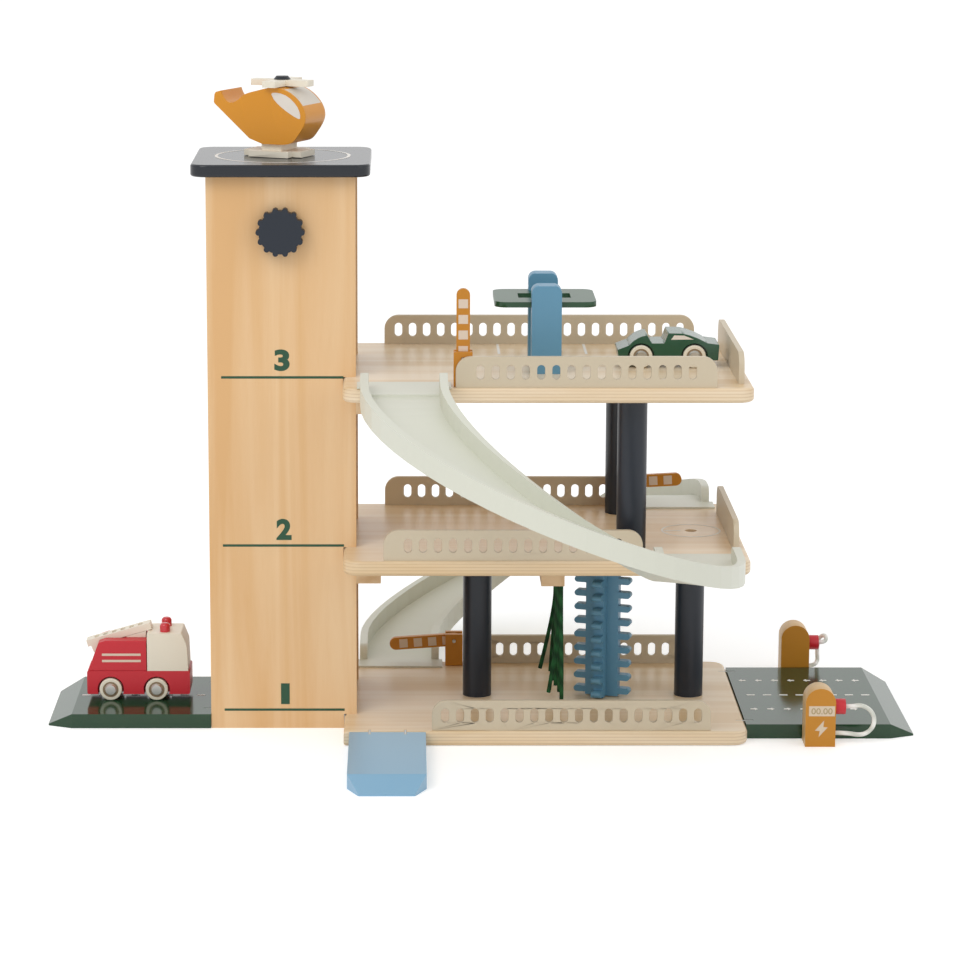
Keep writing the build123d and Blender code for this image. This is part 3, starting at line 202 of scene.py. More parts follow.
def cord_curve(name, points, radius, material):
    """One open spline along the route, as a round cord."""
    curve = bpy.data.curves.new(name, "CURVE")
    curve.dimensions = "3D"
    curve.bevel_depth = radius
    curve.bevel_resolution = 6
    curve.use_fill_caps = True
    curve.resolution_u = 16
    spline = curve.splines.new("NURBS")
    spline.points.add(len(points) - 1)
    for spline_point, place in zip(spline.points, points):
        spline_point.co = (*place, 1.0)
    spline.order_u = 3
    spline.use_endpoint_u = True
    piece = bpy.data.objects.new(name, curve)
    piece.data.materials.append(material)
    bpy.context.scene.collection.objects.link(piece)
    return piece


strand_green = cord_material("braided_green_polyester", "#0F3A1E", "#1E5A30")
strand_x = 0.0142
strand_top = 0.1225
strand_pitch = 0.017
# Each strand's way down: millimetres along X and Z from where it leaves the bar.
strand_routes = [
    [(0, 0), (0, -34), (1.0, -70), (1.0, -102)],
    [(0, 0), (0, -30), (-3.4, -64), (-9.0, -99)],
    [(0, 0), (0, -35), (0.8, -71), (0.6, -103)],
    [(0, 0), (0, -33), (-1.2, -69), (-1.6, -102)],
    [(0, 0), (0, -32), (-1.4, -68), (-3.2, -102)],
    [(0, 0), (0, -28), (-5.2, -61), (-13.5, -96)],
    [(0, 0), (0, -35), (-1.8, -71), (-3.9, -103)],
]
for number, route in enumerate(strand_routes):
    strand_y = (number - 3) * strand_pitch
    strand_points = [(strand_x + x / 1000, strand_y, strand_top + z / 1000) for x, z in route]
    strand = cord_curve("wash_strand_%d" % (number + 1), strand_points, 0.0017, strand_green)
    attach(strand, "garage")
    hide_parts("wash_strands")

# ---------------------------------------------------------------- charger cords
# A short white polyester cord on each charger stands for its cable. It is fixed in the
# plug's end and in the block's side near the foot, and holds its bend between them.
cord_white = cord_material("braided_white_polyester", "#D4D6CC", "#F6F5F0")
charger_places = {"front": (0.2218, -0.106), "back": (0.2250, 0.106)}
# Real length, how far behind the block's middle the cord ends, and the route between the
# ends in millimetres from the block's middle.
charger_routes = {
    "front": (0.0703, 0.0, [
        (26.5, 0, 31.0), (33.3, -0.8, 32.5), (40.3, -1.8, 29.6), (44.5, -2.2, 23.4),
        (44.5, -2.2, 15.9), (40.3, -1.4, 9.7), (33.3, -0.6, 6.9), (22.8, 0, 8.8),
    ]),
    "back": (0.056, 5.0, [
        (26.5, 0, 31.0), (29.0, 4.5, 34.0), (27.0, 9.5, 35.5), (23.0, 13.0, 31.5),
        (22.0, 14.0, 24.5), (22.2, 13.5, 17.0), (22.4, 11.5, 11.5), (18.5, 5.0, 8.8),
    ]),
}
for side, (cord_length, behind, route) in charger_routes.items():
    x, y = charger_places[side]
    plug_end = (21.0, 0, 31.0)
    block_side = (12.2, behind, 8.8)
    full_route = [plug_end] + route + [block_side]
    cord_points = [(x + a / 1000, y + b / 1000, c / 1000) for a, b, c in full_route]
    charger_cord = cord_curve(side + "_charger_cord_braid", cord_points, 0.0018, cord_white)
    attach(charger_cord, side + "_plug")
    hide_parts(side + "_charger_cord")

# ---------------------------------------------------------------- lift cord
# White polyester cord, wound on the spool in the tower's top, through a hole in the cabin's
# roof and knotted under it. It winds up with the lift.
lift_cord_x = -0.2019
lift_cord_top = 0.413
lift_cord_bottom = 0.0897
lift_knot_height = 0.0866


def tube_mesh(name, bottom, top, radius, sides):
    """An upright closed tube."""
    mesh = bpy.data.meshes.new(name)
    shape = bmesh.new()
    bmesh.ops.create_cone(
        shape, cap_ends=True, segments=sides, radius1=radius, radius2=radius,
        depth=(top - bottom).length,
        matrix=Matrix.Translation((top + bottom) / 2),
    )
    shape.to_mesh(mesh)
    shape.free()
    return mesh


lift_cord = bpy.data.objects.new(
    "lift_cord_braid",
    tube_mesh(
        "lift_cord_braid", Vector((lift_cord_x, 0, lift_cord_bottom)),
        Vector((lift_cord_x, 0, lift_cord_top)), 0.001, 16,
    ),
)
lift_cord.data.materials.append(cord_white)
bpy.context.scene.collection.objects.link(lift_cord)
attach(lift_cord, "garage")
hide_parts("lift_cord")

knot_mesh = bpy.data.meshes.new("lift_cord_knot")
knot_shape = bmesh.new()
bmesh.ops.create_uvsphere(
    knot_shape, u_segments=20, v_segments=12, radius=0.0029,
    matrix=Matrix.Translation((lift_cord_x, 0, lift_knot_height)),
)
for face in knot_shape.faces:
    face.smooth = True
knot_shape.to_mesh(knot_mesh)
knot_shape.free()
knot = bpy.data.objects.new("lift_cord_knot", knot_mesh)
knot.data.materials.append(cord_white)
bpy.context.scene.collection.objects.link(knot)
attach(knot, "lift")
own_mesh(lift_cord)


# ---------------------------------------------------------------- decks
# Birch plywood boards, cut and rounded on a router, sanded and lacquered clear.
# The edges show the plies; the faces have a fine grain along the garage.
def wood_material(name, light, dark, along, ring, roughness, plies=0.0):
    """Clear-lacquered wood: growth figure a ring apart, drawn out along one axis (0 X, 1 Y, 2 Z),
    with fibres 0.4 mm wide and 17 mm long that also break up the gloss.
    A ply thickness above 0 draws plywood layers on the upright faces."""
    material = bpy.data.materials.new(name)
    material.use_nodes = True
    tree = material.node_tree
    tree.nodes.clear()
    place = add_node(tree, "ShaderNodeTexCoord").outputs["Object"]
    drawn_out = 0.05
    stretch = [1 / ring] * 3
    stretch[along] = drawn_out / ring
    drawn = add_node(
        tree, "ShaderNodeMapping", {"Vector": place, "Scale": stretch}, vector_type="POINT"
    )
    growth = add_node(
        tree, "ShaderNodeTexNoise",
        {"Vector": drawn.outputs[0], "Scale": 1.0, "Detail": 4.0, "Distortion": 0.5},
    )
    fibre_stretch = [2600.0] * 3
    fibre_stretch[along] = 60.0
    fibre_place = add_node(
        tree, "ShaderNodeMapping", {"Vector": place, "Scale": fibre_stretch}, vector_type="POINT"
    )
    fibres = add_node(
        tree, "ShaderNodeTexNoise", {"Vector": fibre_place.outputs[0], "Scale": 1.0, "Detail": 2.0}
    )
    amount = add_node(
        tree, "ShaderNodeMapRange",
        {"Value": growth.outputs["Fac"], "From Min": 0.38, "From Max": 0.68},
    )
    mixed = add_node(
        tree, "ShaderNodeMath", {0: fibres.outputs["Fac"], 1: 0.3, 2: amount.outputs[0]},
        operation="MULTIPLY_ADD",
    )
    colour = add_node(
        tree, "ShaderNodeMix", {0: mixed.outputs[0], 6: from_hex(light), 7: from_hex(dark)},
        data_type="RGBA",
    )
    surface_colour = colour.outputs[2]
    if plies > 0:
        height = add_node(tree, "ShaderNodeSeparateXYZ", {0: place}).outputs["Z"]
        layer = add_node(
            tree, "ShaderNodeMath", {0: height, 1: 2 * plies, 2: 0.0}, operation="WRAP"
        )
        dark_ply = add_node(
            tree, "ShaderNodeMath", {0: layer.outputs[0], 1: 1.35 * plies},
            operation="GREATER_THAN",
        )
        normal = add_node(tree, "ShaderNodeNewGeometry").outputs["Normal"]
        facing = add_node(tree, "ShaderNodeSeparateXYZ", {0: normal})
        steepness = add_node(
            tree, "ShaderNodeMath", {0: facing.outputs["Z"]}, operation="ABSOLUTE"
        )
        upright = add_node(
            tree, "ShaderNodeMath", {0: steepness.outputs[0], 1: 0.75}, operation="LESS_THAN"
        )
        shown = add_node(
            tree, "ShaderNodeMath", {0: dark_ply.outputs[0], 1: upright.outputs[0]},
            operation="MULTIPLY",
        )
        ply_contrast = 0.32
        faded = add_node(
            tree, "ShaderNodeMath", {0: shown.outputs[0], 1: ply_contrast}, operation="MULTIPLY"
        )
        layered = add_node(
            tree, "ShaderNodeMix", {0: faded.outputs[0], 6: surface_colour, 7: from_hex("#B8946A")},
            data_type="RGBA",
        )
        surface_colour = layered.outputs[2]
    bump = add_node(
        tree, "ShaderNodeBump",
        {"Height": fibres.outputs["Fac"], "Strength": 0.12, "Distance": 0.0002},
    )
    shader = add_node(
        tree, "ShaderNodeBsdfPrincipled",
        {"Base Color": surface_colour, "Roughness": roughness, "Normal": bump.outputs[0]},
    )
    add_node(tree, "ShaderNodeOutputMaterial", {"Surface": shader.outputs[0]})
    return material


def dress(node, material, rounding=0.0):
    """A CAD node's material, and its sharp edges sanded round."""
    piece = nodes[node]
    piece.data.materials.clear()
    piece.data.materials.append(material)
    if rounding > 0:
        weld = piece.modifiers.new("weld", "WELD")
        weld.merge_threshold = 0.00001
        bevel = piece.modifiers.new("sanded_edges", "BEVEL")
        bevel.width = rounding
        bevel.segments = 2
        bevel.limit_method = "ANGLE"
        bevel.angle_limit = math.radians(50)
        bevel.harden_normals = True
    return piece


# Nine plies in 12 mm under a satin lacquer: pale, fine-grained, a little shiny.
birch_ply = wood_material(
    "birch_plywood_lacquered", "#EFDCC0", "#E0C399", 0, 0.022, 0.32, 0.00133
)
for deck in ("base_deck", "middle_deck", "top_deck"):
    dress(deck, birch_ply)


# ---------------------------------------------------------------- deck prints
# Two thin white parking lines are screen-printed on the top deck, and a ring and a short
# line round the peg hole of the middle one.
def paint_material(name, colour, roughness, coat=0.0):
    """Sprayed or screen-printed water-based paint: a faint ripple breaks up its satin gloss."""
    material = bpy.data.materials.new(name)
    material.use_nodes = True
    tree = material.node_tree
    tree.nodes.clear()
    place = add_node(tree, "ShaderNodeTexCoord").outputs["Object"]
    orange_peel = add_node(
        tree, "ShaderNodeTexNoise", {"Vector": place, "Scale": 700.0, "Detail": 2.0}
    )
    bump = add_node(
        tree, "ShaderNodeBump",
        {"Height": orange_peel.outputs["Fac"], "Strength": 0.05, "Distance": 0.0002},
    )
    shader = add_node(
        tree, "ShaderNodeBsdfPrincipled",
        {
            "Base Color": from_hex(colour),
            "Roughness": roughness,
            "Coat Weight": coat,
            "Coat Roughness": 0.15,
            "Normal": bump.outputs[0],
        },
    )
    add_node(tree, "ShaderNodeOutputMaterial", {"Surface": shader.outputs[0]})
    return material


def flat_piece(name, corners, faces, material, body):
    """A thin printed area as a mesh of flat faces."""
    mesh = bpy.data.meshes.new(name)
    mesh.from_pydata(corners, [], faces)
    mesh.materials.append(material)
    piece = bpy.data.objects.new(name, mesh)
    bpy.context.scene.collection.objects.link(piece)
    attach(piece, body)
    return piece


def flat_ring(name, centre, outer, width, material, body):
    """A thin printed ring on a level face."""
    steps = 96
    corners = []
    for radius in (outer, outer - width):
        for step in range(steps):
            angle = 2 * math.pi * step / steps
            corners.append((
                centre[0] + radius * math.cos(angle),
                centre[1] + radius * math.sin(angle),
                centre[2],
            ))
    faces = [
        (s, (s + 1) % steps, steps + (s + 1) % steps, steps + s) for s in range(steps)
    ]
    return flat_piece(name, corners, faces, material, body)


def level_bar(x0, x1, y0, y1, z):
    """The four corners of a level rectangle."""
    return [(x0, y0, z), (x1, y0, z), (x1, y1, z), (x0, y1, z)]


white_print = paint_material("white_screen_print", "#F2F0EA", 0.5)
print_lift = 0.0001
top_deck_face = 0.294
middle_deck_face = 0.153
bay_line_half = 0.0011
for number, x in enumerate((-0.035, 0.0385)):
    flat_piece(
        "bay_line_%d" % (number + 1),
        level_bar(
            x - bay_line_half, x + bay_line_half, 0.054, 0.106, top_deck_face + print_lift
        ),
        [(0, 1, 2, 3)], white_print, "garage",
    )
peg_centre = (0.1246, 0.0035, middle_deck_face + print_lift)
flat_ring("peg_ring", peg_centre, 0.0250, 0.0018, white_print, "garage")
flat_piece(
    "peg_line",
    level_bar(0.1020, 0.1160, 0.0022, 0.0048, middle_deck_face + print_lift),
    [(0, 1, 2, 3)], white_print, "garage",
)

# ---------------------------------------------------------------- tower
# Three panels of glued pine with upright grain, lacquered clear, glued to each other
# and notched over the decks.
# Pine is more yellow than birch and has a wider figure under a duller lacquer.
pine = wood_material("pine_panel_lacquered", "#ECCBA0", "#DDAF78", 2, 0.03, 0.42)
for panel in ("tower_front_panel", "tower_back_panel", "tower_left_panel"):
    dress(panel, pine)

# Beech left bare or only sanded: matt, and a little darker.
plain_wood = wood_material("beech_sanded", "#E6C9A2", "#D3AE80", 1, 0.02, 0.55)
dress("deck_battens", plain_wood)

# ---------------------------------------------------------------- tower prints
# A number and a line for each storey are screen-printed in dark green on the front panel.
# The figures are heavy and without serifs; each line lies just under its figure.
green_print = paint_material("dark_green_screen_print", "#1B4A31", 0.5)


def flat_text(name, text, size, centre, facing, material, body, weight=0.0):
    """Printed figures on an upright face: facing -1 towards the front, 1 towards the back."""
    curve = bpy.data.curves.new(name, "FONT")
    curve.body = text
    curve.size = 1.0
    curve.offset = weight
    curve.align_x = "CENTER"
    curve.fill_mode = "FRONT"
    source = bpy.data.objects.new(name + "_source", curve)
    bpy.context.scene.collection.objects.link(source)
    bpy.context.view_layer.update()
    mesh = bpy.data.meshes.new_from_object(
        source.evaluated_get(bpy.context.evaluated_depsgraph_get())
    )
    bpy.data.objects.remove(source)
    xs = [v.co.x for v in mesh.vertices]
    ys = [v.co.y for v in mesh.vertices]
    scale_x = size[0] / (max(xs) - min(xs))
    scale_y = size[1] / (max(ys) - min(ys))
    middle = Vector(((max(xs) + min(xs)) / 2, (max(ys) + min(ys)) / 2, 0))
    for vertex in mesh.vertices:
        flat = vertex.co - middle
        vertex.co = (
            centre[0] - facing * flat.x * scale_x, centre[1], centre[2] + flat.y * scale_y
        )
    mesh.name = name
    mesh.materials.clear()
    mesh.materials.append(material)
    piece = bpy.data.objects.new(name, mesh)
    bpy.context.scene.collection.objects.link(piece)
    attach(piece, body)
    return piece


tower_face = -0.060 - print_lift
figure_height = 0.0177
for text, middle, low, width in (
    ("3", -0.2137, 0.2989, 0.0124), ("2", -0.2130, 0.1590, 0.0124), ("1", -0.2128, 0.0204, 0.0072)
):
    flat_text(
        "storey_number_" + text, text, (width, figure_height),
        (middle, tower_face, low + figure_height / 2), -1, green_print, "garage", 0.045,
    )
line_left = -0.263
line_right = -0.164
line_half = 0.001
for number, z in enumerate((0.0157, 0.1544, 0.2937)):
    flat_piece(
        "storey_line_%d" % (number + 1),
        [(line_left, tower_face, z - line_half), (line_right, tower_face, z - line_half),
         (line_right, tower_face, z + line_half), (line_left, tower_face, z + line_half)],
        [(0, 1, 2, 3)], green_print, "garage",
    )

# ---------------------------------------------------------------- roof
# One board with rounded corners, painted a dark, nearly black blue, fixed on the tower.
# The helicopter's landing ring is screen-printed on it; the smooth paint mirrors the room.
navy_paint = paint_material("dark_blue_satin_paint", "#101720", 0.2)
dress("tower_roof", navy_paint)
roof_face = 0.467
flat_ring(
    "landing_ring", (-0.214, 0, roof_face + print_lift), 0.0555, 0.0026, white_print, "garage"
)

# ---------------------------------------------------------------- columns
# Four round beech columns, turned, painted dark blue, with a dowel turned at each end.
# The dowels are glued in the decks below and above.
column_paint = paint_material("dark_blue_column_paint", "#151D29", 0.38)
dress("columns", column_paint)

# ---------------------------------------------------------------- fences
# Low plywood fences with pill-shaped holes, routed in one go and painted greige.
# Their tabs are glued in mortises along the decks' edges.
greige_paint = paint_material("greige_satin_paint", "#CDBFA6", 0.42)
for fence in ("base_fences", "middle_fences", "top_fences"):
    dress(fence, greige_paint, 0.0004)

# ---------------------------------------------------------------- slides
# Two curved channels of wood in pale grey-green satin paint, one in front, one behind.
# Each starts with a lip glued on its deck and ends in a low step.
pale_green_paint = paint_material("pale_grey_green_paint", "#D9DACC", 0.38)
for slide in ("front_slide", "back_slide"):
    dress(slide, pale_green_paint)


# ---------------------------------------------------------------- barriers
# A mustard painted block on each deck holds an arm, which swings on a steel pin.
# Four pale squares are screen-printed on both faces of each arm.
def row_tree():
    """Geometry nodes: one shape repeated along a straight line."""
    tree = bpy.data.node_groups.new("printed_row", "GeometryNodeTree")
    tree.interface.new_socket("Shape", in_out="INPUT", socket_type="NodeSocketObject")
    tree.interface.new_socket("Count", in_out="INPUT", socket_type="NodeSocketInt")
    tree.interface.new_socket("Step", in_out="INPUT", socket_type="NodeSocketVector")
    tree.interface.new_socket("Material", in_out="INPUT", socket_type="NodeSocketMaterial")
    tree.interface.new_socket("Geometry", in_out="OUTPUT", socket_type="NodeSocketGeometry")
    given = add_node(tree, "NodeGroupInput")
    shape = add_node(tree, "GeometryNodeObjectInfo", {"Object": given.outputs["Shape"]})
    line = add_node(
        tree, "GeometryNodeMeshLine",
        {"Count": given.outputs["Count"], "Offset": given.outputs["Step"]},
    )
    placed = add_node(
        tree, "GeometryNodeInstanceOnPoints",
        {"Points": line.outputs[0], "Instance": shape.outputs["Geometry"]},
    )
    real = add_node(tree, "GeometryNodeRealizeInstances", {0: placed.outputs[0]})
    painted = add_node(
        tree, "GeometryNodeSetMaterial",
        {"Geometry": real.outputs[0], "Material": given.outputs["Material"]},
    )
    add_node(tree, "NodeGroupOutput", {0: painted.outputs[0]})
    return tree


printed_row_tree = row_tree()


def printed_row(name, corners, faces, step, count, material, body):
    """A row of equal printed marks."""
    shape_mesh = bpy.data.meshes.new(name + "_mark")
    shape_mesh.from_pydata(corners, [], faces)
    shape = bpy.data.objects.new(name + "_mark", shape_mesh)
    holder = bpy.data.objects.new(name + "_holder", bpy.data.meshes.new(name + "_holder"))
    for temporary in (shape, holder):
        bpy.context.scene.collection.objects.link(temporary)
    row = holder.modifiers.new("row", "NODES")
    row.node_group = printed_row_tree
    keys = {item.name: item.identifier for item in printed_row_tree.interface.items_tree}
    row[keys["Shape"]] = shape
    row[keys["Count"]] = count
    row[keys["Step"]] = step
    row[keys["Material"]] = material
    bpy.context.view_layer.update()
    mesh = bpy.data.meshes.new_from_object(
        holder.evaluated_get(bpy.context.evaluated_depsgraph_get())
    )
    holder.modifiers.remove(row)
    bpy.data.objects.remove(holder)
    bpy.data.objects.remove(shape)
    mesh.name = name
    piece = bpy.data.objects.new(name, mesh)
    bpy.context.scene.collection.objects.link(piece)
    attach(piece, body)
    return piece


mustard_paint = paint_material("mustard_satin_paint", "#C27E12", 0.4)
# Bright zinc on drawn steel: a pale metal, polished enough to mirror the white room softly.
zinc_steel = bpy.data.materials.new("bright_zinc_plated_steel")
zinc_steel.use_nodes = True
zinc_tree = zinc_steel.node_tree
zinc_tree.nodes.clear()
zinc_shader = add_node(
    zinc_tree, "ShaderNodeBsdfPrincipled",
    {"Base Color": from_hex("#C9C8C4"), "Metallic": 1.0, "Roughness": 0.28},
)
add_node(zinc_tree, "ShaderNodeOutputMaterial", {"Surface": zinc_shader.outputs[0]})

dress("barrier_posts", mustard_paint, 0.0006)
dress("barrier_pins", zinc_steel)
pale_print = paint_material("pale_pink_screen_print", "#DCC8B4", 0.5)
pin_height = 0.022
arm_half_thickness = 0.0025
first_square = 0.0065
square_pitch = 0.0125
square_half_length = 0.0036
square_half_height = 0.0038
for level, x, y, deck_top, aim_degrees in (
    ("base", -0.0715, 0.105, 0.012, 184.0),
    ("middle", 0.068, 0.0988, 0.153, 3.0),
    ("top", -0.068, -0.0988, 0.294, 90.0),
):
    dress(level + "_barrier_arm", mustard_paint, 0.0005)
    aim = Vector((math.cos(math.radians(aim_degrees)), 0, math.sin(math.radians(aim_degrees))))
    across = Vector((-aim.z, 0, aim.x))
    pivot = Vector((x, 0, deck_top + pin_height))
    for face_name, face_side in (("front", -1), ("back", 1)):
        face_y = y + face_side * (arm_half_thickness + print_lift)
        middle = pivot + aim * first_square
        corners = [
            middle + aim * a * square_half_length + across * b * square_half_height
            for a, b in ((-1, -1), (1, -1), (1, 1), (-1, 1))
        ]
        corners = [(c.x, face_y, c.z) for c in corners]
        printed_row(
            level + "_arm_squares_" + face_name, corners, [(0, 1, 2, 3)], aim * square_pitch, 4,
            pale_print, level + "_barrier",
        )

# ---------------------------------------------------------------- car hoist
# Two light blue posts are glued in the top deck. A dark green plate with a slot for each
# post slides up and down on them by hand.
blue_paint = paint_material("light_blue_satin_paint", "#5F94B2", 0.38)
green_paint = paint_material("dark_green_satin_paint", "#1F4A2E", 0.3)
dress("hoist_posts", blue_paint, 0.0006)
dress("hoist_plate", green_paint, 0.0005)

# ---------------------------------------------------------------- wash brush
# Two comb boards, slotted into each other in a cross and painted light blue.
# They turn on two beech dowels between the base and the middle deck.
dress("brush_board_a", blue_paint, 0.0005)
dress("brush_board_b", blue_paint, 0.0005)
dress("brush_pins", plain_wood)

# ---------------------------------------------------------------- lift and crank
# A cabin of bare sanded wood slides in the tower's shaft. The toothed knob, painted dark
# blue, sits outside on a beech axle, whose spool inside winds up the lift's cord.
for part in ("lift_floor", "lift_cabin", "crank_axle", "cord_spool"):
    dress(part, plain_wood)
knob_paint = paint_material("dark_blue_knob_paint", "#0C1826", 0.45)
dress("crank_knob", knob_paint, 0.0006)

# ---------------------------------------------------------------- roads and ramp
# Bevelled boards: dark green with white road prints at both ends, light blue for the ramp.
# Steel link plates in the decks' kerfs hold them in place.
# The road paint is the smoothest on the set and mirrors what stands on it.
road_paint = paint_material("dark_green_road_paint", "#183F24", 0.14)
ramp_paint = paint_material("light_blue_ramp_paint", "#86B2D0", 0.3)
dress("right_road", road_paint)
dress("left_road", road_paint)
dress("entry_ramp", ramp_paint)
dress("link_plates", zinc_steel)

board_thickness = 0.012
road_print_z = board_thickness + print_lift
road_mark_pitch = 0.0138


def arrow_corners(x, y, direction):
    """A short arrow on a level face, pointing along X in that direction."""
    outline = [
        (-3.0, -1.6), (0.3, -1.6), (0.3, -4.2), (3.2, 0), (0.3, 4.2), (0.3, 1.6), (-3.0, 1.6),
    ]
    points = [(x + direction * a / 1000, y + b / 1000, road_print_z) for a, b in outline]
    return points if direction > 0 else points[::-1]


arrow_faces = [(0, 1, 2, 3, 4, 5, 6)]
printed_row(
    "road_arrows_back", arrow_corners(0.1745, 0.0475, -1), arrow_faces,
    (road_mark_pitch, 0, 0), 8, white_print, "right_road_board",
)
printed_row(
    "road_arrows_front", arrow_corners(0.1755, -0.0447, 1), arrow_faces,
    (road_mark_pitch, 0, 0), 7, white_print, "right_road_board",
)
printed_row(
    "road_dashes_right", level_bar(0.1735, 0.1805, -0.0016, 0.0016, road_print_z),
    [(0, 1, 2, 3)], (road_mark_pitch, 0, 0), 8, white_print, "right_road_board",
)
printed_row(
    "road_dashes_left", level_bar(-0.386, -0.379, -0.0016, 0.0016, road_print_z),
    [(0, 1, 2, 3)], (road_mark_pitch, 0, 0), 8, white_print, "left_road_board",
)


# ---------------------------------------------------------------- chargers
# Solid wooden blocks, painted mustard on both faces and left bare round the edge.
# A red plug on a peg goes into the side; the outer face is printed with a display and a bolt.
def two_tone_material(name, face_colour, edge_light, edge_dark):
    """Paint on the faces towards -Y and +Y, bare sanded wood with fine fibres round the edge."""
    material = bpy.data.materials.new(name)
    material.use_nodes = True
    tree = material.node_tree
    tree.nodes.clear()
    place = add_node(tree, "ShaderNodeTexCoord").outputs["Object"]
    drawn = add_node(
        tree, "ShaderNodeMapping", {"Vector": place, "Scale": (60.0, 900.0, 60.0)},
        vector_type="POINT",
    )
    fibres = add_node(tree, "ShaderNodeTexNoise", {"Vector": drawn.outputs[0], "Scale": 1.0})
    bare = add_node(
        tree, "ShaderNodeMix",
        {0: fibres.outputs["Fac"], 6: from_hex(edge_light), 7: from_hex(edge_dark)},
        data_type="RGBA",
    )
    normal = add_node(tree, "ShaderNodeNewGeometry").outputs["Normal"]
    facing = add_node(tree, "ShaderNodeSeparateXYZ", {0: normal})
    level = add_node(tree, "ShaderNodeMath", {0: facing.outputs["Y"]}, operation="ABSOLUTE")
    painted = add_node(
        tree, "ShaderNodeMath", {0: level.outputs[0], 1: 0.6}, operation="GREATER_THAN"
    )
    colour = add_node(
        tree, "ShaderNodeMix",
        {0: painted.outputs[0], 6: bare.outputs[2], 7: from_hex(face_colour)},
        data_type="RGBA",
    )
    shader = add_node(
        tree, "ShaderNodeBsdfPrincipled", {"Base Color": colour.outputs[2], "Roughness": 0.42}
    )
    add_node(tree, "ShaderNodeOutputMaterial", {"Surface": shader.outputs[0]})
    return material


charger_wood = two_tone_material("mustard_painted_beech", "#C4831C", "#E3C08C", "#CFA66C")
red_paint = paint_material("red_satin_paint", "#C81F2E", 0.38)
brown_print = paint_material("mustard_brown_screen_print", "#A8905F", 0.5)
display_print = paint_material("pale_display_print", "#DCC9B0", 0.5)
charger_half_thickness = 0.011
display_half = 0.0105
display_shift = 0.0009
display_low = 0.0257
display_high = 0.0341
# Listed from its top tip: millimetres right of the block's middle, seen from outside, and
# above the floor.
bolt_outline = [
    (2.8, 22.2), (-4.5, 13.7), (-0.6, 13.4), (-1.4, 8.3), (5.8, 16.4), (2.3, 16.7),
]
for side, facing in (("front", -1), ("back", 1)):
    x, y = charger_places[side]
    dress(side + "_charger", charger_wood, 0.0005)
    dress(side + "_charger_plug", red_paint, 0.0006)
    body = side + "_charger_block"
    face_y = y + facing * (charger_half_thickness + print_lift)
    display_x = x - facing * display_shift
    display_left = display_x - display_half
    display_right = display_x + display_half
    display = [
        (display_left, face_y, display_low), (display_right, face_y, display_low),
        (display_right, face_y, display_high), (display_left, face_y, display_high),
    ]
    flat_piece(
        side + "_display", display if facing < 0 else display[::-1], [(0, 1, 2, 3)],
        display_print, body,
    )
    flat_text(
        side + "_display_digits", "00.00", (0.0170, 0.0050),
        (display_x, face_y + facing * print_lift, (display_low + display_high) / 2), facing,
        brown_print, body,
    )
    bolt = [(x - facing * a / 1000, face_y, z / 1000) for a, z in bolt_outline]
    flat_piece(
        side + "_bolt", bolt if facing < 0 else bolt[::-1], [(0, 1, 2, 5), (2, 3, 4, 5)],
        display_print, body,
    )


# ---------------------------------------------------------------- helicopter
# A mustard body of one board on a cream cross, with a cream rotor on a capped pin.
# The side windows are printed, the windscreen goes round the front.
def helicopter_material(name, paint, glass, centre_x, turn, low):
    """Satin paint with the windscreen printed across the front edge, in the body's own frame."""
    material = bpy.data.materials.new(name)
    material.use_nodes = True
    tree = material.node_tree
    tree.nodes.clear()
    place = add_node(tree, "ShaderNodeTexCoord").outputs["Object"]
    moved = add_node(
        tree, "ShaderNodeVectorMath", {0: place, 1: (-centre_x, 0, -low)}, operation="ADD"
    )
    own = add_node(
        tree, "ShaderNodeVectorRotate", {"Vector": moved.outputs[0], "Angle": -turn},
        rotation_type="Z_AXIS",
    )
    axes = add_node(tree, "ShaderNodeSeparateXYZ", {0: own.outputs[0]})
    across = add_node(tree, "ShaderNodeMath", {0: axes.outputs["Y"]}, operation="ABSOLUTE")
    limits = (
        (across.outputs[0], 0.0168, "LESS_THAN"),
        (axes.outputs["X"], 0.010, "GREATER_THAN"),
        (axes.outputs["Z"], 0.032, "GREATER_THAN"),
    )
    tests = [
        add_node(tree, "ShaderNodeMath", {0: value, 1: limit}, operation=operation)
        for value, limit, operation in limits
    ]
    inside = tests[0].outputs[0]
    for test in tests[1:]:
        inside = add_node(
            tree, "ShaderNodeMath", {0: inside, 1: test.outputs[0]}, operation="MULTIPLY"
        ).outputs[0]
    colour = add_node(
        tree, "ShaderNodeMix", {0: inside, 6: from_hex(paint), 7: from_hex(glass)}, data_type="RGBA"
    )
    shader = add_node(
        tree, "ShaderNodeBsdfPrincipled", {"Base Color": colour.outputs[2], "Roughness": 0.3}
    )
    add_node(tree, "ShaderNodeOutputMaterial", {"Surface": shader.outputs[0]})
    return material


cream_paint = paint_material("cream_satin_paint", "#EAE2D0", 0.4)
heli_x = -0.214
heli_turn = math.radians(-24.0)
heli_low = 0.4778
heli_paint = helicopter_material(
    "mustard_helicopter_paint", "#D98F14", "#D8CFC2", heli_x, heli_turn, heli_low
)
dress("helicopter_body", heli_paint, 0.0008)
dress("helicopter_skid", cream_paint, 0.0005)
dress("helicopter_rotor", cream_paint, 0.0005)
dress("helicopter_rotor_pin", navy_paint)
helicopter_half_width = 0.019
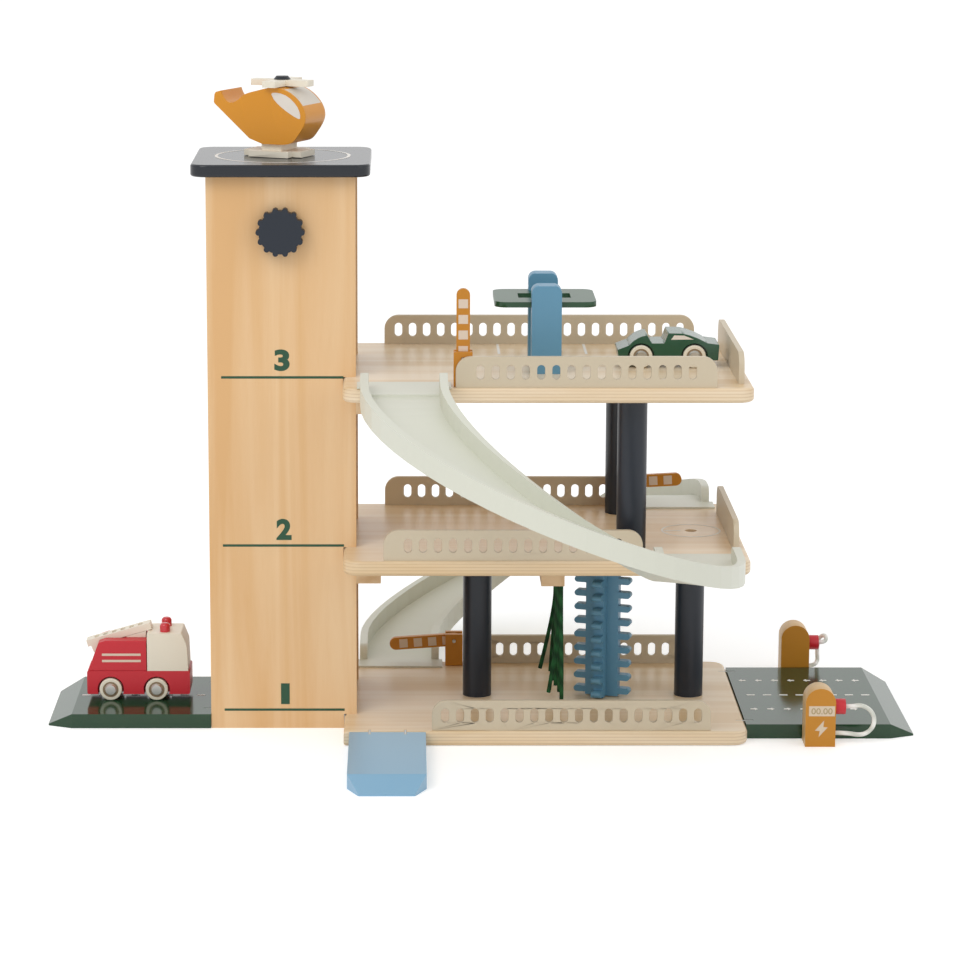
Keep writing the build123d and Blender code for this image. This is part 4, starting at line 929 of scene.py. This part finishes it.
# The side window, in millimetres along the body and above its foot.
window_outline = [
    (-0.7, 40.8), (1.5, 36.7), (4.6, 33.4), (8.1, 30.6), (12.0, 27.8), (15.8, 25.5), (19.8, 23.2),
    (23.5, 21.6), (25.0, 21.6), (25.2, 24.0), (24.6, 27.2), (22.9, 30.8), (20.2, 34.2),
    (16.6, 37.5), (12.5, 40.0), (8.0, 41.5), (3.7, 42.0), (0.6, 41.8),
]
window_print = paint_material("pale_window_print", "#E4DBD0", 0.4)
heli_frame = Matrix.Translation((heli_x, 0, heli_low)) @ Matrix.Rotation(heli_turn, 4, "Z")
for side_name, side in (("near", -1), ("far", 1)):
    outline = [
        heli_frame @ Vector((a / 1000, side * (helicopter_half_width + print_lift), z / 1000))
        for a, z in window_outline
    ]
    flat_piece(
        "helicopter_window_" + side_name, outline if side < 0 else outline[::-1],
        [tuple(range(len(outline)))], window_print, "helicopter",
    )

# ---------------------------------------------------------------- sports car
# One shaped block painted dark green and lacquered, with printed side windows.
# Its turned cream wheels sit on steel axles with hub caps, in bores through the block.
car_paint = paint_material("dark_green_gloss_paint", "#1E5038", 0.22, 0.3)
dress("sports_car_body", car_paint, 0.0008)
tread_cream = paint_material("cream_wheel_paint", "#E6DECB", 0.45)
# This brown is painted shade: the turned grooves round the hubs are drawn as flat rings in it.
groove_shade_brown = paint_material("painted_groove_shade", "#8A7459", 0.6)


def wheel_recess(name, centre, facing, body):
    """A flat ring round the hub on the wheel's outer face, its brown the painted shade of the
    turned groove.
    """
    steps = 48
    corners = []
    for radius in (0.0066, 0.0050):
        for step in range(steps):
            angle = 2 * math.pi * step / steps
            corners.append((
                centre[0] + radius * math.cos(angle),
                centre[1],
                centre[2] + radius * math.sin(angle),
            ))
    faces = [(s, (s + 1) % steps, steps + (s + 1) % steps, steps + s) for s in range(steps)]
    if facing > 0:
        faces = [face[::-1] for face in faces]
    return flat_piece(name, corners, faces, groove_shade_brown, body)


wheel_face = 0.0185
for vehicle, axles, wheel_z in (
    ("sports_car", (("front", 0.0795), ("rear", 0.1233)), 0.3037),
    ("fire_truck", (("front", -0.3219), ("rear", -0.3604)), 0.0217),
):
    for axle, axle_x in axles:
        dress(vehicle + "_" + axle + "_wheels", tread_cream)
        dress(vehicle + "_" + axle + "_axle", zinc_steel)
        for side_name, side in (("near", -1), ("far", 1)):
            wheel_recess(
                vehicle + "_" + axle + "_groove_" + side_name,
                (axle_x, side * (wheel_face + print_lift / 2), wheel_z), side,
                vehicle + "_" + axle + "_wheel_set",
            )
vehicle_half_width = 0.018
car_window_outline = [(0.1039, 0.3178), (0.1065, 0.3214), (0.1146, 0.3212), (0.1225, 0.3180)]
for side_name, side in (("near", -1), ("far", 1)):
    outline = [(x, side * (vehicle_half_width + print_lift), z) for x, z in car_window_outline]
    flat_piece(
        "car_window_" + side_name, outline[::-1] if side < 0 else outline, [(0, 1, 2, 3)],
        window_print, "sports_car",
    )

# ---------------------------------------------------------------- fire truck
# A red painted chassis and tank and a cream cab with two red beacons, glued together.
# The cream ladder swings at the tank's rear and lies on a rest; two stripes are printed.
for part in ("fire_truck_chassis", "fire_truck_tank"):
    dress(part, red_paint, 0.0006)
dress("fire_truck_cab", cream_paint, 0.0006)
dress("fire_truck_ladder", cream_paint, 0.0005)
dress("fire_truck_ladder_rest", cream_paint, 0.0003)
beacon_paint = paint_material("red_gloss_paint", "#C8202E", 0.2, 0.4)
dress("fire_truck_beacons", beacon_paint)
stripe_rear = -0.3673
stripe_front = -0.3349
stripe_height = 0.0020
for number, z in enumerate((0.0452, 0.0506)):
    for side_name, side in (("near", -1), ("far", 1)):
        y = side * (vehicle_half_width + print_lift)
        top = z + stripe_height
        bar = [
            (stripe_rear, y, z), (stripe_front, y, z),
            (stripe_front, y, top), (stripe_rear, y, top),
        ]
        flat_piece(
            "truck_stripe_%d_%s" % (number + 1, side_name), bar if side < 0 else bar[::-1],
            [(0, 1, 2, 3)], pale_print, "fire_truck",
        )
